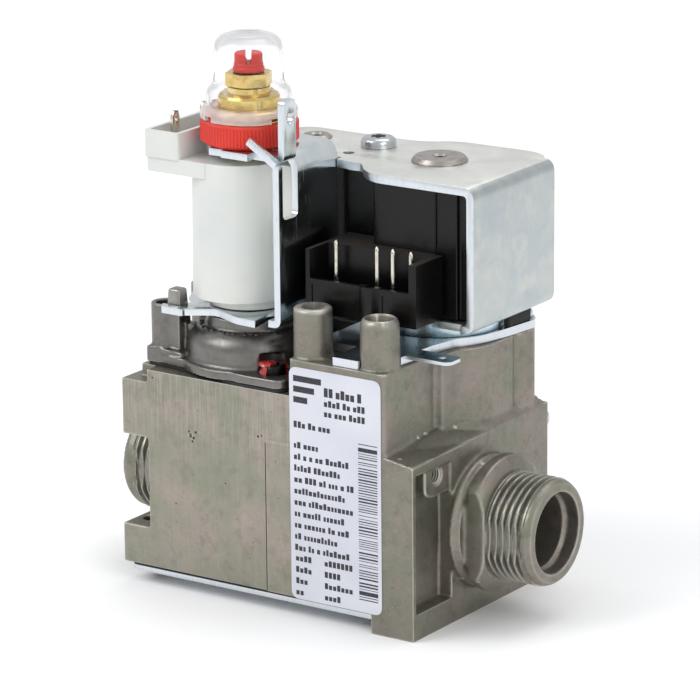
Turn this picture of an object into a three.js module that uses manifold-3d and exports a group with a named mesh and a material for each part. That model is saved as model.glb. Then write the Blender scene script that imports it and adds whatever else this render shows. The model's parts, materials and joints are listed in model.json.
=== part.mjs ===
// Multifunctional gas valve for a boiler: a die-cast body with two threaded pipe ends, a pair of
// solenoid valves under one yoke, a pressure regulator with its modulator coil, and two test nipples.
// Millimetres, +Z up, +X along the gas flow from inlet to outlet, -Y towards the labelled front.
import * as THREE from "three";
import { mergeVertices } from "three/addons/utils/BufferGeometryUtils.js";
import Module from "manifold-3d";

const wasm = await Module();
wasm.setup();

// ---------------------------------------------------------------- driving dimensions

const GAP = 0.3; // running clearance between pieces that move past each other
const REST = 0.1; // gap left between pieces that lie on each other
const FINE = 24; // sides of a large round piece
const MIDDLE = 16; // sides of a middle-sized one
const COARSE = 12; // sides of a small round piece
const SMALL = 8; // sides of a screw shank

const FRONT = -30;
const BACK = 30;
const LEFT = -35.4; // left wall of the body
const RIGHT = 42; // face of the outlet flange
const FLANGE_BACK = 35; // where the flange plate meets the front face
const BASE = 5; // underside of the body, the flange foot reaches 0
const LEFT_TOP = 55.2; // top of the body under the regulator
const TOP = 64.5; // top of the body under the solenoids

const AXIS_Z = 22.7; // pipe axis, on the line y = 0
const INLET_END = -56.4;
const OUTLET_END = 63.4;
const THREAD_R = 13.22; // G3/4, 26.44 mm outside
const MOUTH_R = 9.9;
const BORE_R = 9;
const MOUTH_DEPTH = 4;
const RING_R = 15.3; // low ring cast on the flange
const COLLAR_R = 16.8; // collar with wrench flats
const COLLAR_FLAT = 13;

const NIPPLE_Y = -24.5;
const NIPPLE_R = 4.6;
const NIPPLE_TOP = 76.5;
const NIPPLE_INLET_X = 10.4;
const NIPPLE_OUTLET_X = 29.4;

const MOD = { x: -15.7, y: -12.6 }; // axis of the modulator and the regulator
const COIL = { x: -18.4, y: -12.6 }; // outside of the modulator coil, eccentric to its bore
const COIL_R = 12.1;
const COIL_BASE = 73.4;
const COIL_TOP = 107.2;
const COVER_BASE = 56;
const COVER_FLANGE = 2.2;
const DOME_R = 16.6;
const DOME_TOP = 67;

const SHEET = 2; // zinc-plated steel sheet of the yoke and the base plate
const BRACKET_SHEET = 1.7; // sheet of the modulator bracket
const BRACKET_FLOOR = 69.5;
const BRACKET_TOP = 111;
const BRACKET_RIGHT = 1; // outer face of the bracket's upright wall
const BRACKET_NEAR = -24.5;
const BRACKET_FAR = 0.3;

const EV1 = { x: 23, y: 11.3 };
const EV2 = { x: -16.1, y: 16.1 };
const PLATE_Z = TOP + REST; // underside of the solenoid base plate
const PLATE_TOP = PLATE_Z + SHEET;
const YOKE_TOP = 106.3;
const YOKE_FLOOR = 70.7;
const YOKE_RIGHT = 45.6;
const YOKE_FRONT = -9.1;
const YOKE_BACK = 27;
const SEAT_Z = 52; // valve seats of both solenoid valves

const COVER_PLATE_TOP = 4.5; // bottom cover plate
const COVER_PLATE_Z = 3.3;
const PLUG_END = 32.4;

// ---------------------------------------------------------------- solids

function solidOf(geometry) {
  const loose = geometry.index ? geometry.toNonIndexed() : geometry;
  const bare = new THREE.BufferGeometry();
  bare.setAttribute("position", loose.getAttribute("position"));
  const merged = mergeVertices(bare, 1e-4);
  const corners = merged.index.array;
  const kept = [];
  for (let i = 0; i < corners.length; i += 3) {
    const [a, b, c] = [corners[i], corners[i + 1], corners[i + 2]];
    if (a !== b && b !== c && a !== c) kept.push(a, b, c);
  }
  return new wasm.Manifold(
    new wasm.Mesh({
      numProp: 3,
      vertProperties: merged.attributes.position.array,
      triVerts: new Uint32Array(kept),
    }),
  );
}

function join(...solids) {
  return solids.reduce((a, b) => a.add(b));
}

function cut(solid, ...tools) {
  return tools.reduce((a, b) => a.subtract(b), solid);
}

function slab(x0, x1, y0, y1, z0, z1) {
  const box = new THREE.BoxGeometry(x1 - x0, y1 - y0, z1 - z0);
  box.translate((x0 + x1) / 2, (y0 + y1) / 2, (z0 + z1) / 2);
  return solidOf(box);
}

// An upright cylinder or cone from z0 to z1.
function post(x, y, z0, z1, r, topR = r, sides = COARSE) {
  const rod = new THREE.CylinderGeometry(topR, r, z1 - z0, sides);
  rod.rotateX(Math.PI / 2);
  rod.translate(x, y, (z0 + z1) / 2);
  return solidOf(rod);
}

// A cylinder or cone along X, with radius endR at x1.
function pipe(x0, x1, r, endR = r, y = 0, z = AXIS_Z, sides = FINE) {
  const rod = new THREE.CylinderGeometry(endR, r, x1 - x0, sides);
  rod.rotateZ(-Math.PI / 2);
  rod.translate((x0 + x1) / 2, y, z);
  return solidOf(rod);
}

// A cylinder along Y.
function peg(y0, y1, r, x, z, sides = COARSE) {
  const rod = new THREE.CylinderGeometry(r, r, y1 - y0, sides);
  rod.translate(x, (y0 + y1) / 2, z);
  return solidOf(rod);
}

// A shape whose corners [x, y, radius] are rounded.
function roundedShape(corners) {
  const shape = new THREE.Shape();
  corners.forEach(([x, y, r = 0], i) => {
    const at = new THREE.Vector2(x, y);
    const before = new THREE.Vector2(...corners.at(i - 1).slice(0, 2)).sub(at).normalize();
    const after = new THREE.Vector2(...corners[(i + 1) % corners.length].slice(0, 2));
    after.sub(at).normalize();
    const start = at.clone().addScaledVector(before, r);
    const end = at.clone().addScaledVector(after, r);
    if (i === 0) shape.moveTo(start.x, start.y);
    else shape.lineTo(start.x, start.y);
    if (r > 0) shape.quadraticCurveTo(x, y, end.x, end.y);
  });
  shape.closePath();
  return shape;
}

// A plan outline raised from z0 to z1.
function prism(corners, z0, z1) {
  const raised = new THREE.ExtrudeGeometry(roundedShape(corners), {
    depth: z1 - z0,
    bevelEnabled: false,
    curveSegments: 3,
  });
  raised.translate(0, 0, z0);
  return solidOf(raised);
}

// A side outline of [x, z, radius] corners, drawn through from y0 to y1.
function section(corners, y0, y1) {
  const drawn = new THREE.ExtrudeGeometry(roundedShape(corners), {
    depth: y1 - y0,
    bevelEnabled: false,
    curveSegments: 3,
  });
  drawn.rotateX(Math.PI / 2);
  drawn.translate(0, y1, 0);
  return solidOf(drawn);
}

// A profile of [radius, z] points turned about the upright line through (x, y).
function turned(profile, x, y, sides = FINE) {
  const points = profile.map(([r, z]) => new THREE.Vector2(r, z));
  const round = new THREE.LatheGeometry(points, sides);
  round.rotateX(Math.PI / 2);
  round.translate(x, y, 0);
  return solidOf(round);
}

function tube(x, y, z0, z1, outerR, innerR, sides = COARSE) {
  return cut(
    post(x, y, z0, z1, outerR, outerR, sides),
    post(x, y, z0 - 1, z1 + 1, innerR, innerR, sides),
  );
}

// ---------------------------------------------------------------- materials and the assembly

const FINISHES = {
  cast: [0x9a978a, 0.5, 0.85],
  darkCast: [0x6e6d6a, 0.42, 0.85],
  zinc: [0xc9d0d2, 0.3, 0.95],
  steel: [0xb9b6b0, 0.35, 0.95],
  nickel: [0xc4bcb8, 0.35, 0.95],
  brass: [0xc9a850, 0.28, 0.95],
  whitePlastic: [0xe3e4e0, 0.5, 0],
  blackPlastic: [0x151414, 0.35, 0],
  redPlastic: [0xd93a2e, 0.45, 0],
  clearPlastic: [0xf4f6f6, 0.08, 0],
  rubber: [0x1b1b1b, 0.85, 0],
  paper: [0xd4d5d9, 0.5, 0],
};

const valve = new THREE.Group();

function add(name, solid, finish) {
  const { numProp, numVert, vertProperties, triVerts } = solid.getMesh();
  const positions = new Float32Array(numVert * 3);
  for (let i = 0; i < numVert; i++) {
    positions.set(vertProperties.subarray(i * numProp, i * numProp + 3), i * 3);
  }
  const geometry = new THREE.BufferGeometry();
  geometry.setAttribute("position", new THREE.BufferAttribute(positions, 3));
  geometry.setIndex(new THREE.BufferAttribute(triVerts, 1));
  geometry.computeVertexNormals();
  const [color, roughness, metalness] = FINISHES[finish];
  const material = new THREE.MeshStandardMaterial({ color, roughness, metalness });
  const mesh = new THREE.Mesh(geometry, material);
  mesh.name = name;
  valve.add(mesh);
}

// A pan-head screw with a hexagon socket, standing upright on z with its shank pointing down.
function panScrew(x, y, z, headR, headH, shankR, length) {
  const head = join(
    post(x, y, z, z + headH * 0.5, headR),
    post(x, y, z + headH * 0.5, z + headH, headR, headR * 0.72),
  );
  const shank = post(x, y, z - length, z + 0.01, shankR, shankR, SMALL);
  const socketR = headR * 0.38;
  return cut(join(head, shank), post(x, y, z + headH * 0.4, z + headH + 1, socketR, socketR, 6));
}

// ---------------------------------------------------------------- body

// Plan of the body's upper part under the solenoids.
const UPPER_PLAN = [
  [7, FRONT, 1],
  [34.2, FRONT, 1.6],
  [34.4, -8.8, 0.8],
  [36.4, -8.2, 0.8],
  [37, -1.5, 2],
  [40.6, 4, 3],
  [41.6, 26, 3],
  [36, 29, 3],
  [7, 29, 1],
];
const BOTTOM_SCREWS = [
  [-38.5, -22],
  [-31, 24],
  [29, -24],
  [29, 24],
];
const COVER_SCREWS = [
  { name: "regulator_screw_front", x: -35, y: -21.6, r: 2.3 },
  { name: "regulator_screw_back", x: -36.2, y: -3.5, r: 2.3 },
  { name: "regulator_screw_sealed", x: -1.6, y: -23.6, r: 3.1 },
  { name: "regulator_screw_right", x: 1, y: -1, r: 3.1 },
];
const COLUMN_R = 3.6;
const PLATE_SCREWS = [
  [15.5, -6.5],
  [-22.5, 23.5],
  [37, 25.5],
];
const SCREW_R = 1.7;
const SCREW_HOLE_R = 1.85;
const REAR_PLUG = { x: 38.4, z: 39.8 };
const CHAMBER = { x: -4, y: 0, r: 15, top: 12.2 };

function bodyCasting() {
  const blocks = join(
    slab(LEFT, 8, FRONT + 0.4, BACK, BASE, LEFT_TOP),
    slab(0, 36, FRONT, BACK, BASE, 42.7),
    prism(UPPER_PLAN, 42, TOP),
    cut(slab(-27, 8, 5.5, 29, 50, TOP), post(MOD.x, MOD.y, 49, 66, 18, 18, FINE)),
    slab(-43, LEFT + 1, FRONT + 0.4, -21, 38, 52),
    slab(-39.8, LEFT + 1, -25.6, 6, 47, LEFT_TOP),
    slab(-43.5, LEFT + 1, FRONT + 0.4, -14, BASE, 15),
    section(
      [[FLANGE_BACK, 0, 1], [RIGHT, 0, 0.6], [RIGHT, 43, 0.8], [36.6, 48.2, 0.8], [33, 48.2]],
      FRONT, BACK,
    ),
  );
  const columns = join(
    post(NIPPLE_INLET_X, NIPPLE_Y, 60, NIPPLE_TOP, NIPPLE_R, NIPPLE_R, MIDDLE),
    post(NIPPLE_OUTLET_X, NIPPLE_Y, 45.3, NIPPLE_TOP, NIPPLE_R + 0.2, NIPPLE_R, MIDDLE),
    post(38, 23, 44, TOP, 3.9, 3.9, COARSE),
  );
  const outlet = join(
    pipe(RIGHT - 1, 45, RING_R),
    pipe(RIGHT - 1, OUTLET_END - 1.2, THREAD_R),
    pipe(OUTLET_END - 1.21, OUTLET_END, THREAD_R, THREAD_R - 1.1),
    pipe(46.4, 49.8, COLLAR_R).intersect(slab(40, 60, -COLLAR_FLAT, COLLAR_FLAT, 0, 60)),
  );
  const inlet = join(
    pipe(INLET_END + 1.2, LEFT + 1, THREAD_R),
    pipe(INLET_END, INLET_END + 1.21, THREAD_R - 1.1, THREAD_R),
    pipe(LEFT - 3, LEFT + 1, RING_R),
  );
  return join(blocks, columns, outlet, inlet);
}

function bodyPassages() {
  const bores = join(
    pipe(INLET_END - 1, INLET_END + MOUTH_DEPTH, MOUTH_R),
    pipe(INLET_END, 3, BORE_R),
    pipe(OUTLET_END - MOUTH_DEPTH, OUTLET_END + 1, MOUTH_R),
    pipe(10, OUTLET_END, BORE_R),
  );
  const wells = join(
    post(EV1.x, EV1.y, SEAT_Z, TOP + 1, 7.6, 7.6, MIDDLE),
    post(EV1.x, EV1.y, AXIS_Z, SEAT_Z + 1, 4.5),
    post(EV2.x, EV2.y, SEAT_Z, TOP + 1, 4.9),
    post(EV2.x, EV2.y, AXIS_Z, SEAT_Z + 1, 2.5),
    peg(5, EV2.y, 2, EV2.x, AXIS_Z + 1.5, SMALL),
    post(MOD.x, MOD.y, 46, LEFT_TOP + 1, 8, 8, MIDDLE),
    post(CHAMBER.x, CHAMBER.y, BASE - 1, CHAMBER.top, CHAMBER.r, CHAMBER.r, FINE),
    post(CHAMBER.x, CHAMBER.y, CHAMBER.top - 1, AXIS_Z, 5.5),
    post(13.5, 0, 4, AXIS_Z, 3.2),
    slab(CHAMBER.x, 13.5, -2, 2, 8, CHAMBER.top),
  );
  const nipples = join(
    post(NIPPLE_INLET_X, NIPPLE_Y, 62, NIPPLE_TOP + 1, 2.45),
    post(NIPPLE_OUTLET_X, NIPPLE_Y, 62, NIPPLE_TOP + 1, 3.2),
  );
  const pocket = cut(
    slab(38.3, RIGHT + 1, -28.6, -13.4, 6.5, 40.8),
    slab(38, RIGHT - 0.4, -24.2, -13, 33.4, 41),
  );
  const holes = join(
    pipe(33, RIGHT + 1, 2.25, 2.25, -18.9, 38.3, COARSE),
    post(-39.8, -23, 8, 16, 2, 2, SMALL),
    peg(24, BACK + 1, 2.15, REAR_PLUG.x, REAR_PLUG.z, SMALL),
    ...BOTTOM_SCREWS.map(([x, y]) => post(x, y, 4, 15.5, SCREW_HOLE_R, SCREW_HOLE_R, SMALL)),
    ...COVER_SCREWS.map(({ x, y }) => post(x, y, 48.6, 60, SCREW_HOLE_R, SCREW_HOLE_R, SMALL)),
    ...PLATE_SCREWS.map(([x, y]) => post(x, y, 52, 66, SCREW_HOLE_R, SCREW_HOLE_R, SMALL)),
  );
  return join(bores, wells, nipples, pocket, holes);
}

function addBody() {
  add("valve_body", cut(bodyCasting(), bodyPassages()), "cast");
  const corners = [
    [-41.6, FRONT + 0.8, 2],
    [FLANGE_BACK - 0.4, FRONT + 0.8, 1],
    [FLANGE_BACK - 0.4, BACK - 0.8, 1],
    [LEFT + 0.4, BACK - 0.8, 2],
    [LEFT + 0.4, -16, 1],
    [-41.6, -16, 2],
  ];
  const screwHoles = BOTTOM_SCREWS.map(([x, y]) => post(x, y, 0, 6, SCREW_HOLE_R, SCREW_HOLE_R, SMALL));
  const opening = post(CHAMBER.x, CHAMBER.y, 4, 6, CHAMBER.r, CHAMBER.r, FINE);
  const side = slab(CHAMBER.x, 17.5, -4, 4, 4, 6);
  add("bottom_gasket", cut(prism(corners, COVER_PLATE_TOP + 0.02, BASE - 0.02), opening, side, ...screwHoles), "rubber");
  add("bottom_cover", cut(prism(corners, COVER_PLATE_Z, COVER_PLATE_TOP), ...screwHoles), "zinc");
  BOTTOM_SCREWS.forEach(([x, y], i) => {
    const head = join(
      post(x, y, COVER_PLATE_Z - 1.1, COVER_PLATE_Z - 0.02, 3.1),
      post(x, y, COVER_PLATE_Z - 2.1, COVER_PLATE_Z - 1.09, 2.3, 3.1),
    );
    const shank = post(x, y, COVER_PLATE_Z - 0.1, 14.5, SCREW_R, SCREW_R, SMALL);
    const socket = post(x, y, COVER_PLATE_Z - 3, COVER_PLATE_Z - 0.9, 1.2, 1.2, 6);
    add(`bottom_screw_${i + 1}`, cut(join(head, shank), socket), "steel");
  });
  add("rear_plug_screw", cut(
    join(peg(BACK + 0.02, PLUG_END, 3.3, REAR_PLUG.x, REAR_PLUG.z), peg(25, BACK + 0.1, 2, REAR_PLUG.x, REAR_PLUG.z, SMALL)),
    peg(PLUG_END - 1.2, PLUG_END + 1, 1.4, REAR_PLUG.x, REAR_PLUG.z, 6),
  ), "steel");
  add("rating_label", slab(7.2, 33.2, FRONT - 0.22, FRONT - 0.02, 5, 62.8), "paper");
  const mesh = join(
    cut(pipe(-50, -48.6, BORE_R - 0.3), pipe(-51, -48, BORE_R - 1.6)),
    cut(pipe(-48.7, -34, BORE_R - 1.2, 4.5), pipe(-48.8, -34.6, BORE_R - 1.7, 4), pipe(-51, -48.6, BORE_R - 1.7)),
  );
  add("inlet_strainer", mesh, "steel");
  const nippleScrew = (x, r, top) => cut(
    join(post(x, NIPPLE_Y, top - 3, top, r, r - 0.3), post(x, NIPPLE_Y, 63, top - 2.9, r - 0.7, r - 0.7, SMALL)),
    slab(x - r, x + r, NIPPLE_Y - 0.35, NIPPLE_Y + 0.35, top - 0.9, top + 1),
  );
  add("test_screw_inlet", nippleScrew(NIPPLE_INLET_X, 2.1, 71), "brass");
  add("test_screw_outlet", nippleScrew(NIPPLE_OUTLET_X, 2.8, 71.8), "brass");
}

// The main valve: a disc on its seat over the servo chamber, with the servo diaphragm below it.
function addMainValve() {
  const { x, y, top } = CHAMBER;
  add("main_valve_disc", join(post(x, y, top - 2, top - REST, 8, 8, FINE), post(x, y, 7.3, top - 1.9, 3)), "rubber");
  add("servo_diaphragm", post(x, y, 6.5, 7.2, 13.5, 13.5, FINE), "rubber");
  add("main_valve_spring", tube(x, y, COVER_PLATE_TOP + REST, 6.4, 6, 4.8, MIDDLE), "steel");
}

// ---------------------------------------------------------------- pressure regulator

const COVER_PLAN = [
  [-38.8, -25, 2.5],
  [-25, -26.6, 3],
  [-8, -29.9, 4],
  [4.4, -29.7, 3],
  [5.4, -20, 4],
  [4.4, 2, 4],
  [-20, 4, 4],
  [-38.8, 3, 4],
];

function addRegulator() {
  const flangeTop = COVER_BASE + COVER_FLANGE;
  const dome = turned(
    [[0, COVER_BASE], [DOME_R, COVER_BASE], [DOME_R, 63.4], [DOME_R - 0.5, 65.2], [DOME_R - 1.7, 66.5],
      [DOME_R - 3.4, DOME_TOP], [13, 69.1], [0, 69.1]],
    MOD.x, MOD.y,
  );
  const [front, back, sealed] = COVER_SCREWS;
  const bosses = join(
    post(front.x, front.y, COVER_BASE, 70.6, COLUMN_R),
    slab(front.x, -29.4, -23.9, -19, COVER_BASE, 69.2),
    post(-28, -20.6, COVER_BASE, 66, 1.4, 1.4, SMALL),
    slab(-32, -20, -22, -8, COVER_BASE, 62),
    post(back.x, back.y, COVER_BASE, 71.2, COLUMN_R),
    slab(back.x, -26, -6, -1.5, COVER_BASE, 66),
  );
  const locator = cut(
    slab(-31.8, -28.6, -24.7, -21.5, 68.8, 75.2),
    section([[-28.1, 74.4], [-29.4, 76], [-27, 76], [-27, 74]], -26, -20),
    section([[-32.3, 74.4], [-32.4, 76], [-31, 76]], -26, -20),
  );
  const hollow = join(
    post(MOD.x, MOD.y, COVER_BASE - 1, 65.6, 9.4, 9.4, MIDDLE),
    post(MOD.x, MOD.y, 60, 72, 4.75, 4.75, MIDDLE),
    post(sealed.x, sealed.y, flangeTop, 62.4, 3.5, 3.5, MIDDLE),
    post(front.x, front.y, flangeTop, 72, 2.45, 2.45),
    post(back.x, back.y, flangeTop, 72, 2.45, 2.45),
    ...COVER_SCREWS.map(({ x, y }) => post(x, y, 50, 68, SCREW_HOLE_R, SCREW_HOLE_R, SMALL)),
  );
  const cover = cut(join(prism(COVER_PLAN, COVER_BASE, flangeTop), dome, bosses, locator), hollow);
  add("regulator_cover", cover, "darkCast");
  const gasketHoles = COVER_SCREWS.map(({ x, y }) => post(x, y, 50, 60, SCREW_HOLE_R, SCREW_HOLE_R, SMALL));
  add("regulator_diaphragm", cut(
    prism(COVER_PLAN, LEFT_TOP + 0.05, COVER_BASE - 0.05),
    post(MOD.x, MOD.y, 50, 60, 3.2), ...gasketHoles,
  ), "rubber");
  add("regulator_piston", join(
    post(MOD.x, MOD.y, COVER_BASE + 0.3, 57.9, 7.4, 7.4, MIDDLE),
    post(MOD.x, MOD.y, 50, 56.4, 2.6),
    post(MOD.x, MOD.y, 57.8, 60.4, 2.6),
  ), "steel");
  add("regulator_spring", tube(MOD.x, MOD.y, 58, 65.4, 6.6, 5.4, MIDDLE), "steel");
  COVER_SCREWS.forEach(({ name, x, y, r }) => {
    add(name, panScrew(x, y, flangeTop + 0.05, r, 2.2, SCREW_R, 8.6), "steel");
  });
}

// ---------------------------------------------------------------- modulator

const RING = { r: 11.9, base: 111.15, top: 117 };
const CAP_BASE = 117.3;
const HEX = { base: 124.9, top: 128.1, acrossFlats: 10 };

const BLADE_Y = [-18.4, -6.4];

function addModulatorCoil() {
  const { x, y } = MOD;
  const shell = { x0: -38.2, x1: -27.9, y0: -24.9, y1: -0.4, top: 113.6 };
  const wall = 1;
  const coil = cut(
    join(
      post(COIL.x, COIL.y, COIL_BASE, COIL_TOP, COIL_R, COIL_R - 0.4, 30),
      slab(-18, BRACKET_RIGHT - BRACKET_SHEET - 0.3, -16, -9, COIL_BASE, COIL_TOP),
      slab(-37.9, -20, -24.4, -0.8, 103.4, COIL_TOP),
      slab(shell.x0, shell.x1, shell.y0, shell.y1, COIL_TOP - 0.2, shell.top),
    ),
    slab(shell.x0 + wall, shell.x1 - wall, shell.y0 + wall, shell.y1 - wall, COIL_TOP + 0.6, shell.top + 1),
    post(x, y, 70, 110, 4.75, 4.75, MIDDLE),
    ...BLADE_Y.map((bladeY) => slab(-34, -33, bladeY - 1.5, bladeY + 1.5, 103, 110)),
  );
  add("modulator_coil", coil, "whitePlastic");
  BLADE_Y.forEach((bladeY, i) => {
    const blade = cut(
      join(
        slab(-33.9, -33.1, bladeY - 1.4, bladeY + 1.4, 103.8, 116.6),
        slab(-33.9, -33.1, bladeY - 0.8, bladeY + 0.8, 116.5, 117.5),
      ),
      pipe(-35, -32, 0.65, 0.65, bladeY, 115.6, SMALL),
    );
    add(`modulator_terminal_${i + 1}`, blade, "nickel");
  });
  add("modulator_core_tube", cut(
    join(post(x, y, 65.8, 117.5, 4.5, 4.5, MIDDLE), post(x, y, 69.2, BRACKET_FLOOR - 0.05, 7, 7, MIDDLE)),
    post(x, y, 64, 104, 3.7, 3.7, MIDDLE),
    post(x, y, 103, 119, 2.7, 2.7, MIDDLE),
  ), "brass");
  add("modulator_plunger", join(
    post(x, y, 74, 101, 3.4, 3.4, MIDDLE),
    post(x, y, 60.55, 74.1, 1.6, 1.6, SMALL),
  ), "steel");
}

function addModulatorBracket() {
  const outer = BRACKET_RIGHT;
  const inner = outer - BRACKET_SHEET;
  const [near, far] = [BRACKET_NEAR, BRACKET_FAR];
  const roofZ = BRACKET_TOP - BRACKET_SHEET;
  const floorTop = BRACKET_FLOOR + BRACKET_SHEET;
  const bend = 5;
  const floorPlan = [
    [-33.2, -25.3, 0.6],
    [-31.9, -27.7, 0.4],
    [-25.9, -27.7, 0.4],
    [-25.6, -26.8],
    [-19.2, -22.8, 2],
    [-10.7, -26.5, 2],
    [-4.8, -26.9, 0.4],
    [-6.2, -16.4],
    [inner - 0.2, -16.4],
    [inner - 0.2, -2.4],
    [-27, -2.4, 5],
    [-33.7, -9, 2],
    [-33.7, -12.3, 1],
    [-30.3, -18.8, 1],
    [-28, -20.8, 0.4],
    [-28, -25.3, 0.4],
  ];
  const strip = section([
    [MOD.x, roofZ],
    [MOD.x, BRACKET_TOP],
    [outer, BRACKET_TOP, bend],
    [outer, BRACKET_FLOOR, 2],
    [-8, BRACKET_FLOOR],
    [-8, floorTop],
    [inner, floorTop, 0.4],
    [inner, roofZ, bend - BRACKET_SHEET],
  ], near, far);
  const lance = join(
    slab(inner - 1.5, outer + 1, -22.9, -16.7, 95.7, 125),
    slab(-8, outer + 1, near - 1, -16.7, 105.4, 125),
    slab(-9, -2.6, near - 1, -16.4, 60, 75),
  );
  const tabHole = pipe(inner - 1, outer + 1, 1.55, 1.55, -19.5, 120.1, SMALL);
  const tab = cut(
    join(
      section([[-8.5, roofZ], [-8.5, BRACKET_TOP], [inner, BRACKET_TOP, 0.4], [inner, 124.4], [outer, 124.4],
        [outer, roofZ, 1.2]], -22.1, -17.1),
    ),
    tabHole,
    slab(-3, 3, -22.6, -21.4, 123.6, 125),
    slab(-3, 3, -17.8, -16.6, 123.6, 125),
  );
  const finger = new THREE.BoxGeometry(BRACKET_SHEET, 1.6, 12.4);
  finger.rotateY(-0.72);
  finger.translate(-3.4, near + 0.8, 109.9);
  const bracket = cut(
    join(
      cut(strip, lance),
      post(MOD.x, MOD.y, roofZ, BRACKET_TOP, 10.6, 10.6, FINE),
      slab(-19.9, -8.4, near + 1, far, roofZ, BRACKET_TOP),
      prism(floorPlan, BRACKET_FLOOR, floorTop),
      tab,
      solidOf(finger),
      slab(inner, outer, near, near + 1.6, 104.6, 106.4),
    ),
    post(MOD.x, MOD.y, 60, 130, 4.75, 4.75, MIDDLE),
  );
  add("modulator_bracket", bracket, "zinc");
}

function addAdjuster() {
  const { x, y } = MOD;
  const ring = cut(
    turned([[0, RING.base], [RING.r - 0.8, RING.base], [RING.r, RING.base + 0.8], [RING.r, RING.top], [0, RING.top]], x, y, 30),
    post(x, y, RING.base + 1, RING.top + 1, 9.2, 9.2, FINE),
    post(x, y, RING.base - 1, RING.base + 2, 4.75, 4.75, MIDDLE),
  );
  add("knurled_ring", ring, "redPlastic");
  add("adjuster_body", cut(
    turned([[0, 113.2], [8.4, 113.2], [8.4, 119.2], [7.4, 119.8], [7.4, 122.6], [6.9, 123], [5.2, 123],
      [5.2, HEX.base - GAP], [0, HEX.base - GAP]], x, y),
    post(x, y, 112, 118, 4.75, 4.75, MIDDLE),
    post(x, y, 117, 126, 3.1, 3.1, MIDDLE),
  ), "brass");
  const across = HEX.acrossFlats / 2 / Math.cos(Math.PI / 6);
  const nut = cut(
    join(
      post(x, y, HEX.base, HEX.top - 0.5, across, across, 6),
      post(x, y, HEX.top - 0.5, HEX.top, across, across * 0.93, 6),
      post(x, y, 119, HEX.base + 0.1, 2.8, 2.8, MIDDLE),
    ),
    post(x, y, 121, 130, 1.9, 1.9, COARSE),
  );
  add("max_adjust_nut", nut, "brass");
  const screw = cut(
    join(
      turned([[0, 128.4], [3.8, 128.4], [3.8, 129.4], [3.45, 129.9], [3.35, 133], [0, 133]], x, y, FINE),
      post(x, y, 122, 128.5, 1.6, 1.6, COARSE),
    ),
    slab(x - 5, x + 5, y - 0.65, y + 0.65, 131.4, 134),
  );
  add("min_adjust_screw", screw, "redPlastic");
  const skin = 0.9;
  const outside = [[11.7, CAP_BASE], [11.7, 119.2], [10.3, 120.4], [10.3, 123.6], [8.4, 125.6],
    [8.3, 134.6], [4.6, 137.4]];
  const inside = outside.map(([r, z]) => [r - skin, Math.min(z, 137.4 - skin)]);
  add("dust_cap", turned(
    [[0, 137.4 - skin], ...inside.reverse(), ...outside, [0, 137.4]],
    x, y, FINE,
  ), "clearPlastic");
}

// ---------------------------------------------------------------- solenoids

const YOKE_PLAN = [
  [-26.5, 2, 5],
  [1.15, 1.6],
  [1.15, -0.4],
  [6.3, -1.5, 1.2],
  [8.9, -1.2, 1.2],
  [13, -6.4, 2.4],
  [17.5, YOKE_FRONT, 2.6],
  [YOKE_RIGHT - 3.2, YOKE_FRONT],
  [YOKE_RIGHT - 3.2, 28.4, 2],
  [37.4, 31.2, 3],
  [15.8, 30.6, 4],
  [8, 25.4, 4],
  [-26.5, 25.2, 6],
];
const SHROUD = { x0: 4.3, x1: 35.7, y0: -18.6, y1: -8.6, floor: 73.1, rim: 88.5, front: 81.4 };
const PIN_X = [10, 21.7, 26.2, 31.3];
const PIN_Y = -13.9;
const COIL_SCREW = { x: 2, y: 16.4 };

function addYoke() {
  const bend = 3.2;
  const lip = 41.8;
  const shape = join(
    prism(YOKE_PLAN, YOKE_TOP - SHEET, YOKE_TOP),
    section([
      [YOKE_RIGHT - 6, YOKE_TOP - SHEET],
      [YOKE_RIGHT - 6, YOKE_TOP],
      [YOKE_RIGHT, YOKE_TOP, bend],
      [YOKE_RIGHT, YOKE_FLOOR, bend],
      [lip, YOKE_FLOOR],
      [lip, YOKE_FLOOR + SHEET],
      [YOKE_RIGHT - SHEET, YOKE_FLOOR + SHEET, bend - SHEET],
      [YOKE_RIGHT - SHEET, YOKE_TOP - SHEET, bend - SHEET],
    ], YOKE_FRONT, YOKE_BACK),
  );
  const { x, y } = COIL_SCREW;
  const yoke = cut(
    shape,
    post(EV1.x, EV1.y, 100, 115, 5.5, 5.5, MIDDLE),
    post(EV2.x, EV2.y, 100, 115, 3.1),
    post(x, y, 100, 115, 2.1, 2.1, SMALL),
    post(0, 6.4, 100, 115, 1.4, 1.4, SMALL),
  );
  add("solenoid_yoke", yoke, "zinc");
  add("yoke_screw", panScrew(x, y, YOKE_TOP + 0.05, 4.35, 2.4, 1.9, 11), "steel");
  add("yoke_base_plate", cut(
    prism([[-24, 5, 2], [13, 5, 1], [16, -7.6, 2], [lip - 0.6, -7.6], [lip - 0.6, 26], [-24, 26, 2]],
      YOKE_FLOOR + 0.1, YOKE_FLOOR + 1.9),
    post(EV1.x, EV1.y, 60, 80, 6.7, 6.7, MIDDLE),
    post(EV2.x, EV2.y, 60, 80, 4.5),
  ), "zinc");
}

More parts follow.
